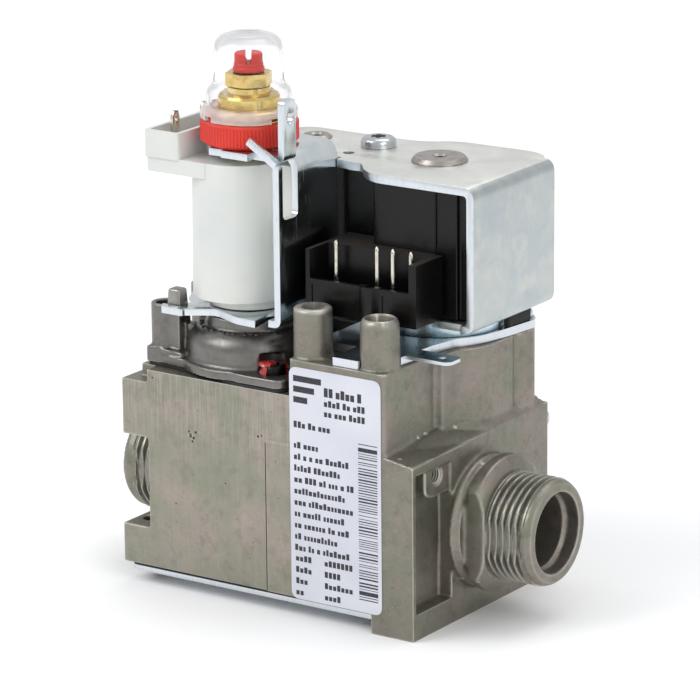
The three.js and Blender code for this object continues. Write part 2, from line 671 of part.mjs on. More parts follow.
function addCoils() {
  const floor = YOKE_FLOOR + SHEET + 0.2;
  const roof = YOKE_TOP - SHEET - 0.2;
  const block = prism([
    [15.4, -6.6, 2],
    [33.4, -6.8, 0.4],
    [33.6, -6, 0.4],
    [39, -6, 0.4],
    [39.2, -5, 0.4],
    [42.9, -5, 1],
    [42.9, 28, 3],
    [11, 28, 3],
    [8, 24, 3],
    [-14, 24],
    [-14, 8],
    [1.6, 2.4, 1],
    [12.6, 1.6, 1],
  ], floor, roof);
  const ev2 = post(EV2.x, EV2.y, floor, roof, 10, 10, FINE);
  const { x0, x1, y0, y1, floor: base, rim, front } = SHROUD;
  const shroud = join(
    slab(x0, x1, y0, y1, base, front),
    slab(x0, x1, y1 - 2, 0, base, rim),
    slab(x0, x0 + 1.2, y0, y1, base, rim),
    slab(x1 - 1.2, x1, y0, y1, base, rim),
    post(22.5, y0 + 1.6, base, front, 2.3).intersect(slab(10, 40, y0 - 0.3, y1, 60, 90)),
  );
  const hollow = slab(x0 + 1.2, x1 - 1.2, y0 + 1.2, y1 - 2, base + 2.9, rim + 2);
  const pinSlots = PIN_X.map((x) => post(x, PIN_Y, base + 0.8, base + 4, 0.72, 0.72, 8));
  add("solenoid_coils", cut(
    join(block, ev2, cut(shroud, hollow)),
    ...pinSlots,
    post(EV1.x, EV1.y, 60, 115, 6.7, 6.7, MIDDLE),
    post(EV2.x, EV2.y, 60, 115, 4.5),
    post(COIL_SCREW.x, COIL_SCREW.y, 94, 115, 2.1, 2.1, SMALL),
  ), "blackPlastic");
  PIN_X.forEach((x, i) => {
    const pin = join(post(x, PIN_Y, base + 1, 89.2, 0.6, 0.6, 8), post(x, PIN_Y, 89.19, 90.4, 0.6, 0.3, 8));
    add(`connector_pin_${i + 1}`, pin, "nickel");
  });
}

function addSolenoidBase() {
  const plan = [
    [19, -29.4, 0.5],
    [26.4, -29.4, 0.5],
    [26.6, -19, 0.5],
    [33, -21.6, 1],
    [33.8, -8.2, 0.5],
    [35.4, -0.9, 1],
    [38.8, 4.2, 3],
    [40.4, 12, 3],
    [42, 24.6, 1.5],
    [38.5, 29, 3],
    [-26, 28.4, 3],
    [-26, 6],
    [7.4, 6],
    [7.4, -18.8, 1],
    [19, -18.8, 0.5],
  ];
  const plate = cut(
    join(prism(plan, PLATE_Z, PLATE_TOP), slab(32, 45.3, -19.4, -13.1, PLATE_TOP - 0.8, PLATE_TOP)),
    post(MOD.x, MOD.y, 60, 70, 18.2, 18.2, FINE),
    post(NIPPLE_INLET_X, NIPPLE_Y, 60, 70, NIPPLE_R + 0.4, NIPPLE_R + 0.4, MIDDLE),
    post(NIPPLE_OUTLET_X, NIPPLE_Y, 60, 70, NIPPLE_R + 0.4, NIPPLE_R + 0.4, MIDDLE),
    post(EV1.x, EV1.y, 60, 70, 6.7, 6.7, MIDDLE),
    post(EV2.x, EV2.y, 60, 70, 4.5),
    post(41.5, -16.2, 60, 70, 0.9, 0.9, SMALL),
    ...PLATE_SCREWS.map(([x, y]) => post(x, y, 60, 70, SCREW_HOLE_R, SCREW_HOLE_R, SMALL)),
  );
  add("solenoid_base_plate", plate, "zinc");
  PLATE_SCREWS.forEach(([x, y], i) => {
    add(`base_plate_screw_${i + 1}`, panScrew(x, y, PLATE_TOP + 0.05, 3, 2, SCREW_R, 13.5), "steel");
  });
  add("ev1_flux_ring", tube(EV1.x, EV1.y, PLATE_TOP + 0.05, YOKE_FLOOR, 16, 9, FINE), "zinc");
  add("coil_support_pad", prism(
    [[38.9, 14.6, 0.4], [40.6, 14.6, 0.6], [41.5, 23.2, 0.6], [39.9, 23.4, 0.4]],
    PLATE_TOP + 0.05, YOKE_FLOOR - 0.1,
  ), "rubber");
}

// One solenoid valve: the fixed core through the yoke, its guide tube, and the plunger with its seal.
function addSolenoidValve(name, { x, y }, size) {
  const coreEnd = size.coreEnd;
  const headTop = YOKE_TOP + size.headH;
  add(`${name}_core`, cut(
    join(
      post(x, y, YOKE_TOP + 0.05, headTop, size.headR, size.headR - 0.5, FINE),
      post(x, y, coreEnd, YOKE_TOP + 0.06, size.coreR, size.coreR, MIDDLE),
    ),
    post(x, y, YOKE_TOP - 7, YOKE_TOP + 3, size.holeR, size.holeR, SMALL),
  ), "nickel");
  add(`${name}_guide_tube`, cut(
    join(
      post(x, y, TOP + 0.2, coreEnd - 0.2, size.tubeR, size.tubeR, MIDDLE),
      post(x, y, PLATE_TOP + 0.1, PLATE_TOP + 1.2, size.tubeR + 1.8, size.tubeR + 1.8, MIDDLE),
    ),
    post(x, y, 60, 110, size.tubeR - 0.6, size.tubeR - 0.6, MIDDLE),
  ), "steel");
  const plungerR = size.tubeR - 0.6 - GAP;
  add(`${name}_plunger`, cut(
    join(
      post(x, y, 68, coreEnd - 2, plungerR, plungerR, MIDDLE),
      post(x, y, SEAT_Z + 3.9, 68.1, size.stemR, size.stemR, SMALL),
    ),
    post(x, y, coreEnd - 10, coreEnd, size.springR + 0.3, size.springR + 0.3, SMALL),
  ), "steel");
  add(`${name}_seal`, post(x, y, SEAT_Z + REST, SEAT_Z + 3.8, size.sealR, size.sealR, MIDDLE), "rubber");
  add(`${name}_spring`, tube(x, y, coreEnd - 9.8, coreEnd - 0.1, size.springR, size.springR - 0.7, SMALL), "steel");
}

addBody();
addMainValve();
addRegulator();
addModulatorBracket();
addModulatorCoil();
addAdjuster();
addYoke();
addCoils();
addSolenoidBase();
addSolenoidValve("ev1", EV1, {
  headR: 6.8, headH: 1.15, coreR: 5.3, holeR: 1.5, coreEnd: 93, tubeR: 6.4, stemR: 3.5, sealR: 6.6, springR: 2.3,
});
addSolenoidValve("ev2", EV2, {
  headR: 3.9, headH: 0.7, coreR: 2.8, holeR: 1.5, coreEnd: 93, tubeR: 4.2, stemR: 2.2, sealR: 4.2, springR: 1.6,
});

// The part's origin is under the middle of the whole object, on the plane that its foot stands on.
valve.position.set(-(INLET_END + OUTLET_END) / 2, -(FRONT - 0.22 + PLUG_END) / 2, 0);

export default valve;
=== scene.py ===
"""Looks of a boiler gas valve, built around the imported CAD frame.

Shapes are drawn in the valve's own axes, in millimetres: +X along the gas flow, y = 0 on the pipe
axis, z = 0 under the flange foot. made() moves them into the row frame, in metres.
"""
import json
import math
import random

import bmesh
import bpy
from mathutils import Matrix, Vector


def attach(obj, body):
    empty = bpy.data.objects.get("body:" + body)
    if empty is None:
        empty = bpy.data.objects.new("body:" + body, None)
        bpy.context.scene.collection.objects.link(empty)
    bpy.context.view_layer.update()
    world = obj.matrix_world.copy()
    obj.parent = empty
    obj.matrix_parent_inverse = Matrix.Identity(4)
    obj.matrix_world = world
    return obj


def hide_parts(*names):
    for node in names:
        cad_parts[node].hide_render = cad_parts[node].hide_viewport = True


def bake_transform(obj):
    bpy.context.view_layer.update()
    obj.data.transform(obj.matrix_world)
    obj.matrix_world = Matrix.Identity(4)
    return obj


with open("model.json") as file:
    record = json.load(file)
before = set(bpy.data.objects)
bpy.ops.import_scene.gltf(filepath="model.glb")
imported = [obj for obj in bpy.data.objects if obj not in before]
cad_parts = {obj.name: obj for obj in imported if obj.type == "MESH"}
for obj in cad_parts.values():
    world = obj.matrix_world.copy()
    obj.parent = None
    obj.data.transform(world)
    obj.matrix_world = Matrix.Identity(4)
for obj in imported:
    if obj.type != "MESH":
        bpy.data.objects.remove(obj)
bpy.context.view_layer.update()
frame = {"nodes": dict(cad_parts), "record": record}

SHIFT = Vector((-3.5, -1.09, 0.0))
MM = 0.001
TO_ROW = Matrix.Scale(MM, 4) @ Matrix.Translation(SHIFT)
AXIS_Z = 22.7

# ------------------------------------------------------------------ camera

scene = bpy.context.scene
AZIMUTH, ELEVATION, ROLL = 0.598169, 0.276331, -0.0094003
EYE = (0.5916157, -0.8682427, 0.3565589)


def aim_camera():
    right = Vector((math.cos(AZIMUTH), math.sin(AZIMUTH), 0))
    back = Vector((
        math.sin(AZIMUTH) * math.cos(ELEVATION),
        -math.cos(AZIMUTH) * math.cos(ELEVATION),
        math.sin(ELEVATION),
    ))
    up = back.cross(right)
    c, s = math.cos(ROLL), math.sin(ROLL)
    turn = Matrix((c * right + s * up, c * up - s * right, back)).transposed()
    lens = bpy.data.cameras.new("camera")
    lens.lens = 231.43
    lens.sensor_width = 36
    lens.clip_start = 0.05
    lens.clip_end = 50
    camera = bpy.data.objects.new("camera", lens)
    camera.matrix_world = Matrix.Translation(EYE) @ turn.to_4x4()
    scene.collection.objects.link(camera)
    scene.camera = camera


aim_camera()

# ------------------------------------------------------------------ solids


def solid(verts, faces):
    mesh = bpy.data.meshes.new("solid")
    mesh.from_pydata([tuple(v) for v in verts], [], faces)
    mesh.update()
    made = bpy.data.objects.new("solid", mesh)
    scene.collection.objects.link(made)
    return made


def outward(shape):
    """Turns every face of a closed solid outwards."""
    bm = bmesh.new()
    bm.from_mesh(shape.data)
    bmesh.ops.recalc_face_normals(bm, faces=bm.faces)
    bm.to_mesh(shape.data)
    bm.free()
    return shape


def evaluated(shape):
    graph = bpy.context.evaluated_depsgraph_get()
    mesh = bpy.data.meshes.new_from_object(shape.evaluated_get(graph))
    shape.modifiers.clear()
    old = shape.data
    shape.data = mesh
    bpy.data.meshes.remove(old)
    return shape


def combined(first, others, operation):
    for other in others:
        step = first.modifiers.new("step", "BOOLEAN")
        step.operation = operation
        step.solver = "MANIFOLD"
        step.object = other
    evaluated(first)
    for other in others:
        mesh = other.data
        bpy.data.objects.remove(other)
        bpy.data.meshes.remove(mesh)
    return first


def join(first, *others):
    return combined(first, others, "UNION")


def cut(first, *others):
    return combined(first, others, "DIFFERENCE")


def common(first, *others):
    return combined(first, others, "INTERSECT")


def moved(shape, matrix):
    shape.data.transform(matrix)
    return shape


def slab(x0, x1, y0, y1, z0, z1):
    corners = [(x, y, z) for x in (x0, x1) for y in (y0, y1) for z in (z0, z1)]
    faces = [(0, 1, 3, 2), (4, 6, 7, 5), (0, 4, 5, 1), (2, 3, 7, 6), (0, 2, 6, 4), (1, 5, 7, 3)]
    return outward(solid(corners, faces))


def raised(outline, depth):
    """A plan outline raised from 0 to depth."""
    count = len(outline)
    verts = [(x, y, z) for z in (0, depth) for x, y in outline]
    faces = [tuple(range(count))[::-1], tuple(range(count, 2 * count))]
    faces += [(i, (i + 1) % count, (i + 1) % count + count, i + count) for i in range(count)]
    return outward(solid(verts, faces))


def ring(radius, sides):
    turns = [2 * math.pi * i / sides for i in range(sides)]
    return [(radius * math.cos(t), radius * math.sin(t)) for t in turns]


def turned(profile, x=0.0, y=0.0, sides=96):
    """A profile of (radius, z) points, its ends on the axis, turned about an upright line."""
    verts, rows = [], []
    for radius, z in profile:
        if radius < 1e-6:
            rows.append([len(verts)] * sides)
            verts.append((x, y, z))
        else:
            rows.append([len(verts) + i for i in range(sides)])
            verts += [(x + a, y + b, z) for a, b in ring(radius, sides)]
    faces = []
    for low, high in zip(rows, rows[1:]):
        for i in range(sides):
            j = (i + 1) % sides
            face = [low[i], low[j], high[j], high[i]]
            face = [v for k, v in enumerate(face) if v != face[k - 1]]
            if len(face) > 2:
                faces.append(tuple(face))
    return outward(solid(verts, faces))


def post(x, y, z0, z1, r, top=None, sides=64):
    """An upright cylinder or cone."""
    return turned([(0, z0), (r, z0), (r if top is None else top, z1), (0, z1)], x, y, sides)


TO_X = Matrix(((0, 0, 1, 0), (0, 1, 0, 0), (-1, 0, 0, 0), (0, 0, 0, 1)))
TO_Y = Matrix(((1, 0, 0, 0), (0, 0, 1, 0), (0, -1, 0, 0), (0, 0, 0, 1)))


def along_x(shape, y=0.0, z=AXIS_Z):
    """Lays a shape turned about the upright axis along X, at (y, z)."""
    return moved(shape, Matrix.Translation((0, y, z)) @ TO_X)


def along_y(shape, x, z):
    return moved(shape, Matrix.Translation((x, 0, z)) @ TO_Y)


def pipe(x0, x1, r, end=None, y=0.0, z=AXIS_Z, sides=96):
    return along_x(post(0, 0, x0, x1, r, end, sides), y, z)


def peg(y0, y1, r, x, z, sides=48):
    return along_y(post(0, 0, y0, y1, r, None, sides), x, z)


def rounded(corners, steps=7):
    """The outline through [x, y, r] corners, each rounded over a length r."""
    outline = []
    for i, corner in enumerate(corners):
        at = Vector(corner[:2])
        r = corner[2] if len(corner) > 2 else 0
        if r <= 0:
            outline.append(tuple(at))
            continue
        before = (Vector(corners[i - 1][:2]) - at).normalized() * r
        after = (Vector(corners[(i + 1) % len(corners)][:2]) - at).normalized() * r
        for k in range(steps + 1):
            t = k / steps
            outline.append(tuple(at + before * (1 - t) ** 2 + after * t ** 2))
    return outline


def prism(corners, z0, z1):
    return moved(raised(rounded(corners), z1 - z0), Matrix.Translation((0, 0, z0)))


def section(corners, y0, y1):
    """A side outline of [x, z, r] corners drawn from y0 to y1."""
    flat = raised(rounded(corners), y1 - y0)
    stand = Matrix(((1, 0, 0, 0), (0, 0, -1, y1), (0, 1, 0, 0), (0, 0, 0, 1)))
    return outward(moved(flat, stand))


def endwise(corners, x0, x1):
    """An end outline of [y, z, r] corners drawn from x0 to x1."""
    flat = raised(rounded(corners), x1 - x0)
    stand = Matrix(((0, 0, 1, x0), (1, 0, 0, 0), (0, 1, 0, 0), (0, 0, 0, 1)))
    return outward(moved(flat, stand))


def tube(x, y, z0, z1, outer, inner, sides=64):
    return cut(post(x, y, z0, z1, outer, None, sides), post(x, y, z0 - 1, z1 + 1, inner, None, sides))


# ------------------------------------------------------------------ finishing a piece


def tidied(shape, merge=0.004):
    bm = bmesh.new()
    bm.from_mesh(shape.data)
    bmesh.ops.remove_doubles(bm, verts=bm.verts, dist=merge)
    bmesh.ops.dissolve_limit(
        bm, angle_limit=math.radians(0.4), verts=bm.verts, edges=bm.edges, use_dissolve_boundaries=False
    )
    bm.to_mesh(shape.data)
    bm.free()
    return shape


def bevelled(shape, width, segments=2, angle=32):
    """Rounds the sharp edges of a solid."""
    tidied(shape)
    step = shape.modifiers.new("bevel", "BEVEL")
    step.width = width
    step.segments = segments
    step.limit_method = "ANGLE"
    step.angle_limit = math.radians(angle)
    step.use_clamp_overlap = True
    step.miter_outer = "MITER_ARC"
    return evaluated(shape)


def melted(shape, voxel=0.5, passes=3, amount=0.5):
    """Rounds every edge and corner, inner and outer, as a casting's are."""
    step = shape.modifiers.new("melt", "REMESH")
    step.mode = "VOXEL"
    step.voxel_size = voxel
    step.adaptivity = 0.0
    smooth = shape.modifiers.new("smooth", "SMOOTH")
    smooth.factor = amount
    smooth.iterations = passes
    return evaluated(shape)


def joined(shapes):
    """Several solids kept as one mesh, without merging them."""
    bm = bmesh.new()
    for shape in shapes:
        bm.from_mesh(shape.data)
    first = shapes[0]
    bm.to_mesh(first.data)
    bm.free()
    for other in shapes[1:]:
        bpy.data.objects.remove(other)
    return first


def made(name, shape, look, slot, body="housing", nodes=(), smooth=32):
    """Moves a finished shape into the row frame as a named piece that rides on a body."""
    shape.name = name
    shape.data.name = name
    shape.data.transform(TO_ROW)
    shape.data.materials.clear()
    shape.data.materials.append(look)
    for polygon in shape.data.polygons:
        polygon.material_index = 0
    shape.data.shade_smooth()
    shape.data.set_sharp_from_angle(angle=math.radians(smooth))
    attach(shape, body)
    if nodes:
        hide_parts(*nodes)
    return shape


def painted(shape, look, chosen):
    """Gives the faces that a test picks out another look."""
    shape.data.materials.append(look)
    index = len(shape.data.materials) - 1
    for polygon in shape.data.polygons:
        if chosen(polygon):
            polygon.material_index = index


# ------------------------------------------------------------------ looks


def linear(code):
    """The linear colour of a hexadecimal sRGB one."""
    parts = [int(code[i:i + 2], 16) / 255 for i in (0, 2, 4)]
    return tuple(p / 12.92 if p <= 0.04045 else ((p + 0.055) / 1.055) ** 2.4 for p in parts) + (1.0,)


class Look:
    """A procedural material, built from object coordinates in millimetres."""

    def __init__(self, name, color, roughness, metallic=0.0, **sockets):
        self.material = bpy.data.materials.new(name)
        self.material.use_nodes = True
        self.tree = self.material.node_tree
        self.shader = self.tree.nodes["Principled BSDF"]
        self.base = linear(color)
        self.shader.inputs["Base Color"].default_value = self.base
        self.shader.inputs["Roughness"].default_value = roughness
        self.shader.inputs["Metallic"].default_value = metallic
        for socket, value in sockets.items():
            self.shader.inputs[socket.replace("_", " ")].default_value = value
        self.place = self.tree.nodes.new("ShaderNodeTexCoord").outputs["Object"]
        self.normal = None

    def node(self, kind, settings=None, **inputs):
        made_node = self.tree.nodes.new("ShaderNode" + kind)
        for key, value in (settings or {}).items():
            setattr(made_node, key, value)
        for key, value in inputs.items():
            socket = made_node.inputs[int(key[1:]) if key[1:].isdigit() else key.replace("_", " ")]
            if hasattr(value, "is_output"):
                self.tree.links.new(value, socket)
            else:
                socket.default_value = value
        return made_node

    def scaled(self, size, stretch=(1, 1, 1), shift=0.0):
        """Object coordinates where one unit is size millimetres, longer along a stretched axis."""
        scale = tuple(1000 / (size * s) for s in stretch)
        return self.node("Mapping", i0=self.place, i1=(shift, shift * 0.7, shift * 1.3), i3=scale).outputs[0]

    def noise(self, size, detail=3.0, rough=0.55, stretch=(1, 1, 1), shift=0.0, warp=0.0):
        made_node = self.node(
            "TexNoise", Vector=self.scaled(size, stretch, shift), Scale=1.0, Detail=detail,
            Roughness=rough, Distortion=warp)
        return made_node.outputs["Fac"]

    def cells(self, size, shift=0.0):
        made_node = self.node("TexVoronoi", Vector=self.scaled(size, shift=shift), Scale=1.0)
        return made_node.outputs["Distance"]

    def spread(self, value, low, high, out_low=0.0, out_high=1.0):
        return self.node(
            "MapRange", {"clamp": True}, i0=value, i1=low, i2=high, i3=out_low, i4=out_high).outputs[0]

    def math(self, operation, a, b=0.0):
        return self.node("Math", {"operation": operation}, i0=a, i1=b).outputs[0]

    def mix(self, factor, a, b):
        return self.node("Mix", {"data_type": "RGBA"}, i0=factor, i6=a, i7=b).outputs[2]

    def bump(self, height, depth, strength=1.0):
        """Adds relief: depth is in millimetres."""
        inputs = {"Height": height, "Strength": strength, "Distance": depth * MM}
        if self.normal is not None:
            inputs["Normal"] = self.normal
        self.normal = self.node("Bump", **inputs).outputs[0]

    def axis(self, index):
        return self.node("SeparateXYZ", i0=self.place).outputs[index]

    def set(self, **links):
        for key, value in links.items():
            self.tree.links.new(value, self.shader.inputs[key.replace("_", " ")])

    def done(self):
        if self.normal is not None:
            self.tree.links.new(self.normal, self.shader.inputs["Normal"])
        return self.material


def cast_look(name, tone, pink, green, dark, streaks=False, rough=0.42, metallic=0.82, specks=1.0,
              worn=0.6):
    """Passivated die-casting: a grainy warm grey with a faint bloom, bright worn edges and painted shade in
    the creases.
    """
    look = Look(name, tone, rough, metallic, Specular_IOR_Level=0.4)
    color = look.mix(look.spread(look.noise(17, 2, shift=3.1), 0.40, 0.62, 0, 0.9), look.base, linear(pink))
    color = look.mix(look.spread(look.noise(14, 2, shift=8.7), 0.46, 0.64, 0, 0.75), color, linear(green))
    color = look.mix(look.spread(look.noise(3.2, 4, 0.7), 0.50, 0.72, 0, 0.5), color, linear(dark))
    color = look.mix(look.spread(look.noise(0.45, 2, 0.6, shift=2.0), 0.62, 0.80, 0, 0.4 * specks), color,
                     linear("C9C5BA"))
    color = look.mix(look.spread(look.cells(4.5, shift=7.0), 0.06, 0.02, 0, 0.7 * specks), color,
                     linear("3C3A32"))
    grain = look.noise(0.6, 3, 0.7)
    roughness = look.spread(look.noise(2.4, 4, 0.7, shift=4.0), 0.3, 0.7, rough - 0.08, rough + 0.14)
    if streaks:
        height = look.spread(look.axis(2), 0.034, 0.046, 0.25, 1)
        lines = look.noise(0.5, 3, 0.6, stretch=(1, 1, 26), shift=1.7)
        bright = look.math("MULTIPLY", look.spread(lines, 0.46, 0.70, 0, 0.26), height)
        color = look.mix(bright, color, linear("C3BFB4"))
        shade = look.math("MULTIPLY", look.spread(lines, 0.50, 0.32, 0, 0.22), height)
        color = look.mix(shade, color, linear("716E66"))
        look.bump(lines, 0.02, 0.4)
    curve = look.node("NewGeometry").outputs["Pointiness"]
    color = look.mix(look.spread(curve, 0.515, 0.57, 0, worn), color, linear("DAD7CF"))
    # painted shade: concave creases and corners are darkened, as if shade fell in them
    color = look.mix(look.spread(curve, 0.485, 0.43, 0, 0.55), color, linear("4A4740"))
    look.bump(grain, 0.05, 0.4)
    look.bump(look.noise(4.0, 2), 0.06 + 0.16 * specks, 0.35)
    look.set(Base_Color=color, Roughness=roughness)
    return look.done()


def zinc_look(name, tone, tint, rough, brush=(1, 1, 30)):
    """Zinc-plated sheet: a cool silver with cloudy passivation and fine rolling lines."""
    look = Look(name, tone, rough, 1.0)
    cloud = look.noise(11, 3, 0.6, shift=4.4, warp=0.4)
    color = look.mix(look.spread(cloud, 0.36, 0.68), look.base, linear(tint))
    color = look.mix(look.spread(look.noise(6, 2, shift=9.4), 0.55, 0.75, 0, 0.3), color, linear("E2DFD0"))
    lines = look.noise(0.35, 3, 0.65, stretch=brush, shift=6.0)
    marks = look.spread(look.noise(1.6, 4, 0.7, shift=2.6), 0.60, 0.72, 0, 0.22)
    color = look.mix(marks, color, linear("8D9396"))
    roughness = look.math("ADD", look.spread(lines, 0.3, 0.7, rough - 0.06, rough + 0.08),
                          look.spread(cloud, 0.4, 0.65, 0, 0.07))
    look.bump(lines, 0.02, 0.4)
    look.bump(look.noise(0.8, 3, 0.6), 0.03, 0.35)
    look.bump(look.noise(7, 2, shift=1.0), 0.10, 0.30)
    look.set(Base_Color=color, Roughness=roughness)
    return look.done()


def sheared_look():
    """The cut edge of plated sheet: bright, with faint ticks across it."""
    look = Look("sheared_edge", "D3D8DD", 0.28, 0.95)
    ticks = look.noise(0.5, 2, 0.6, stretch=(1, 1, 5))
    color = look.mix(look.spread(ticks, 0.48, 0.75, 0, 0.3), look.base, linear("A9AFB5"))
    look.bump(ticks, 0.02, 0.25)
    look.set(Base_Color=color)
    return look.done()


def metal_look(name, tone, dark, rough, grain=0.5, turning=False):
    """Bare or plated small hardware, with machining lines where it was turned."""
    look = Look(name, tone, rough, 1.0)
    wear = look.noise(2.2, 4, 0.65, shift=3.0)
    color = look.mix(look.spread(wear, 0.45, 0.72, 0, 0.7), look.base, linear(dark))
    fine = look.noise(grain, 3, 0.6, stretch=(20, 20, 1) if turning else (1, 1, 1))
    look.bump(fine, 0.03, 0.5)
    look.set(Base_Color=color, Roughness=look.spread(wear, 0.3, 0.75, rough - 0.07, rough + 0.12))
    return look.done()


def plastic_look(name, tone, shade, rough, grain=0.25, depth=0.02):
    """Moulded plastic: a nearly even colour, a fine spark-eroded texture, and a few scuffs."""
    look = Look(name, tone, rough)
    color = look.mix(look.spread(look.noise(15, 2, shift=2.0), 0.35, 0.7), look.base, linear(shade))
    fine = look.noise(grain, 2, 0.5)
    scuffs = look.noise(0.7, 4, 0.7, stretch=(6, 1, 1), shift=5.5)
    look.bump(fine, depth, 0.5)
    look.bump(look.noise(9, 1, shift=4.0), 0.12, 0.3)
    roughness = look.math("ADD", look.spread(fine, 0.3, 0.7, rough - 0.04, rough + 0.05),
                          look.spread(scuffs, 0.62, 0.75, 0, 0.18))
    look.set(Base_Color=color, Roughness=roughness)
    return look.done()


CAST = cast_look("cast_body", "858177", "918880", "7F8272", "67645B")
CAST_BRUSHED = cast_look("cast_body_brushed", "969286", "A3988F", "8B8E7D", "78756A", streaks=True)
THREAD = cast_look("cast_thread", "85827A", "8D8780", "808176", "64615A", rough=0.36, metallic=0.9)
DARK_CAST = cast_look("dark_casting", "777572", "7D7975", "70706C", "5A5855", rough=0.32, metallic=0.9,
                      specks=0.0,
                      worn=0.3)
ZINC = zinc_look("zinc_sheet", "B0B8BB", "C4C7C3", 0.30)
ZINC_BENT = zinc_look("zinc_bracket", "CDD6DA", "DFE4E4", 0.15)
ZINC_BASE = zinc_look("zinc_base_plate", "AEBECA", "C0CCD3", 0.12)
# painted light: a lighter, warmer copy of the zinc for faces that look upwards, as if they caught the light;
# its brushing runs along X
ZINC_PAINTED_LIT_TOP = zinc_look("zinc_sheet_painted_lit_top", "E2E3DE", "EAEAE4", 0.34, brush=(30, 1, 1))
ZINC_BLUE = zinc_look("zinc_ring_blue", "A9C0CC", "C4D6DE", 0.24)
EDGE = sheared_look()
STEEL = metal_look("plated_screw", "C6CACC", "9A9FA2", 0.26)
DARK_STEEL = metal_look("black_screw", "2E2D2B", "1B1A19", 0.35)
INNER_STEEL = metal_look("machined_steel", "AFACA6", "8A8780", 0.32, turning=True)
NICKEL = metal_look("nickel_core", "A9A49E", "857F79", 0.34, turning=True)
PIN = metal_look("tinned_pin", "D9D5C8", "A39B88", 0.22)
BRASS = metal_look("turned_brass", "DCC27C", "BB9B55", 0.22, turning=True)
WHITE = plastic_look("white_plastic", "D6D7D1", "CCD0CE", 0.42)
BLACK = plastic_look("black_plastic", "080707", "0D0B0A", 0.30)
BLACK.node_tree.nodes["Principled BSDF"].inputs["Specular IOR Level"].default_value = 0.28
RED = plastic_look("red_plastic", "DB3A2B", "C92F24", 0.42)
RUBBER = plastic_look("black_rubber", "1A1A1A", "232323", 0.75, grain=0.4, depth=0.05)
LACQUER = Look("sealing_lacquer", "A8180E", 0.14, 0.0, Coat_Weight=1.0)
LACQUER.bump(LACQUER.noise(0.9, 2), 0.2, 0.6)
LACQUER = LACQUER.done()

CLEAR = Look("clear_cap", "FFFFFF", 0.04, 0.0, Transmission_Weight=1.0, IOR=1.26)
CLEAR.bump(CLEAR.noise(3.5, 2), 0.05, 0.25)
CLEAR = CLEAR.done()

SKIRT = Look("clear_cap_skirt", "FFF6F4", 0.16, 0.0, Transmission_Weight=0.72, IOR=1.3)
SKIRT.bump(SKIRT.noise(2.5, 2), 0.12, 0.5)
SKIRT = SKIRT.done()

# ------------------------------------------------------------------ body

TOP = 64.5
YOKE_TOP = 106.3
SHEET = 2.0
SHROUD_TOP = 88.5
THREAD_R = 13.22
PITCH = 1.814
COVER_SCREWS = {"front": (-35, -21.6), "back": (-36.2, -3.5), "sealed": (-1.6, -23.6), "right": (1, -1)}
MOD = (-15.7, -12.6)
EV1 = (23, 11.3)
EV2 = (-16.1, 16.1)
NIPPLES = ((10.4, 4.6), (29.4, 4.65))
NIPPLE_Y = -24.5
BOTTOM_SCREWS = ((-38.5, -22), (-31, 24), (29, -24), (29, 24))
PLATE_SCREWS = ((15.5, -6.5), (-22.5, 23.5), (37, 25.5))
YOKE_SCREW = (2, 16.4)
SCREW_HOLE_R = 1.85
MOD_BORE_R = 4.75
PIN_X = (10, 21.7, 26.2, 31.3)


def screw_holes(places, z0, z1):
    return [post(x, y, z0, z1, SCREW_HOLE_R, None, 24) for x, y in places]


def coil_bores(z0, z1):
    """The bores round the two guide tubes."""
    return [post(*EV1, z0, z1, 6.7), post(*EV2, z0, z1, 4.5)]


def thread(x0, x1, sides=160, steps=12):
    """A male pipe thread along X whose crests are cut off by flats in front and behind."""
    depth, flat = 1.16, 12.35
    count = int((x1 - x0) / PITCH * steps)
    verts = [(x0, 0, AXIS_Z)]
    for k in range(count + 1):
        x = x0 + (x1 - x0) * k / count
        fade = min(1, (x - x0) / 1.4, (x1 - x) / 1.2)
        for i in range(sides):
            turn = 2 * math.pi * i / sides
            phase = ((x - x0) / PITCH + i / sides) % 1
            crest = min(1, max(0, 1.6 * abs(2 * phase - 1) - 0.3))
            radius = THREAD_R - depth * (1 - crest) * max(fade, 0)
            side = abs(math.cos(turn))
            if side > 0.5:
                radius = min(radius, flat / side)
            verts.append((x, radius * math.cos(turn), AXIS_Z + radius * math.sin(turn)))
    verts.append((x1, 0, AXIS_Z))
    faces = []
    for k in range(count):
        low, high = 1 + k * sides, 1 + (k + 1) * sides
        faces += [(low + i, low + (i + 1) % sides, high + (i + 1) % sides, high + i) for i in range(sides)]
    last = 1 + count * sides
    faces += [(0, 1 + (i + 1) % sides, 1 + i) for i in range(sides)]
    faces += [(len(verts) - 1, last + i, last + (i + 1) % sides) for i in range(sides)]
    return outward(solid(verts, faces))


def outlet_flange():
    """The square outlet flange; the sloping ledge on top climbs from front to back."""
    stations = (
        (-30, 34.4, 43.0, 44.3), (-26, 34.4, 43.1, 44.6), (-7.5, 35.6, 43.5, 46.5), (4, 39.6, 43.9, 46.6),
        (15, 40.8, 44.1, 46.6), (27.5, 40.4, 44.4, 46.4), (30, 38.4, 44.4, 45.2),
    )
    verts, faces = [], []
    for y, wall_x, edge_z, wall_z in stations:
        verts += [(30, y, 0), (42, y, 0), (42, y, edge_z), (wall_x, y, wall_z), (30, y, wall_z + 0.1)]
    for row in range(0, 5 * (len(stations) - 1), 5):
        for k in range(5):
            a, b = row + k, row + (k + 1) % 5
            faces.append((a, b, b + 5, a + 5))
    last = 5 * (len(stations) - 1)
    faces += [(4, 3, 2, 1, 0), tuple(range(last, last + 5))]
    return outward(solid(verts, faces))


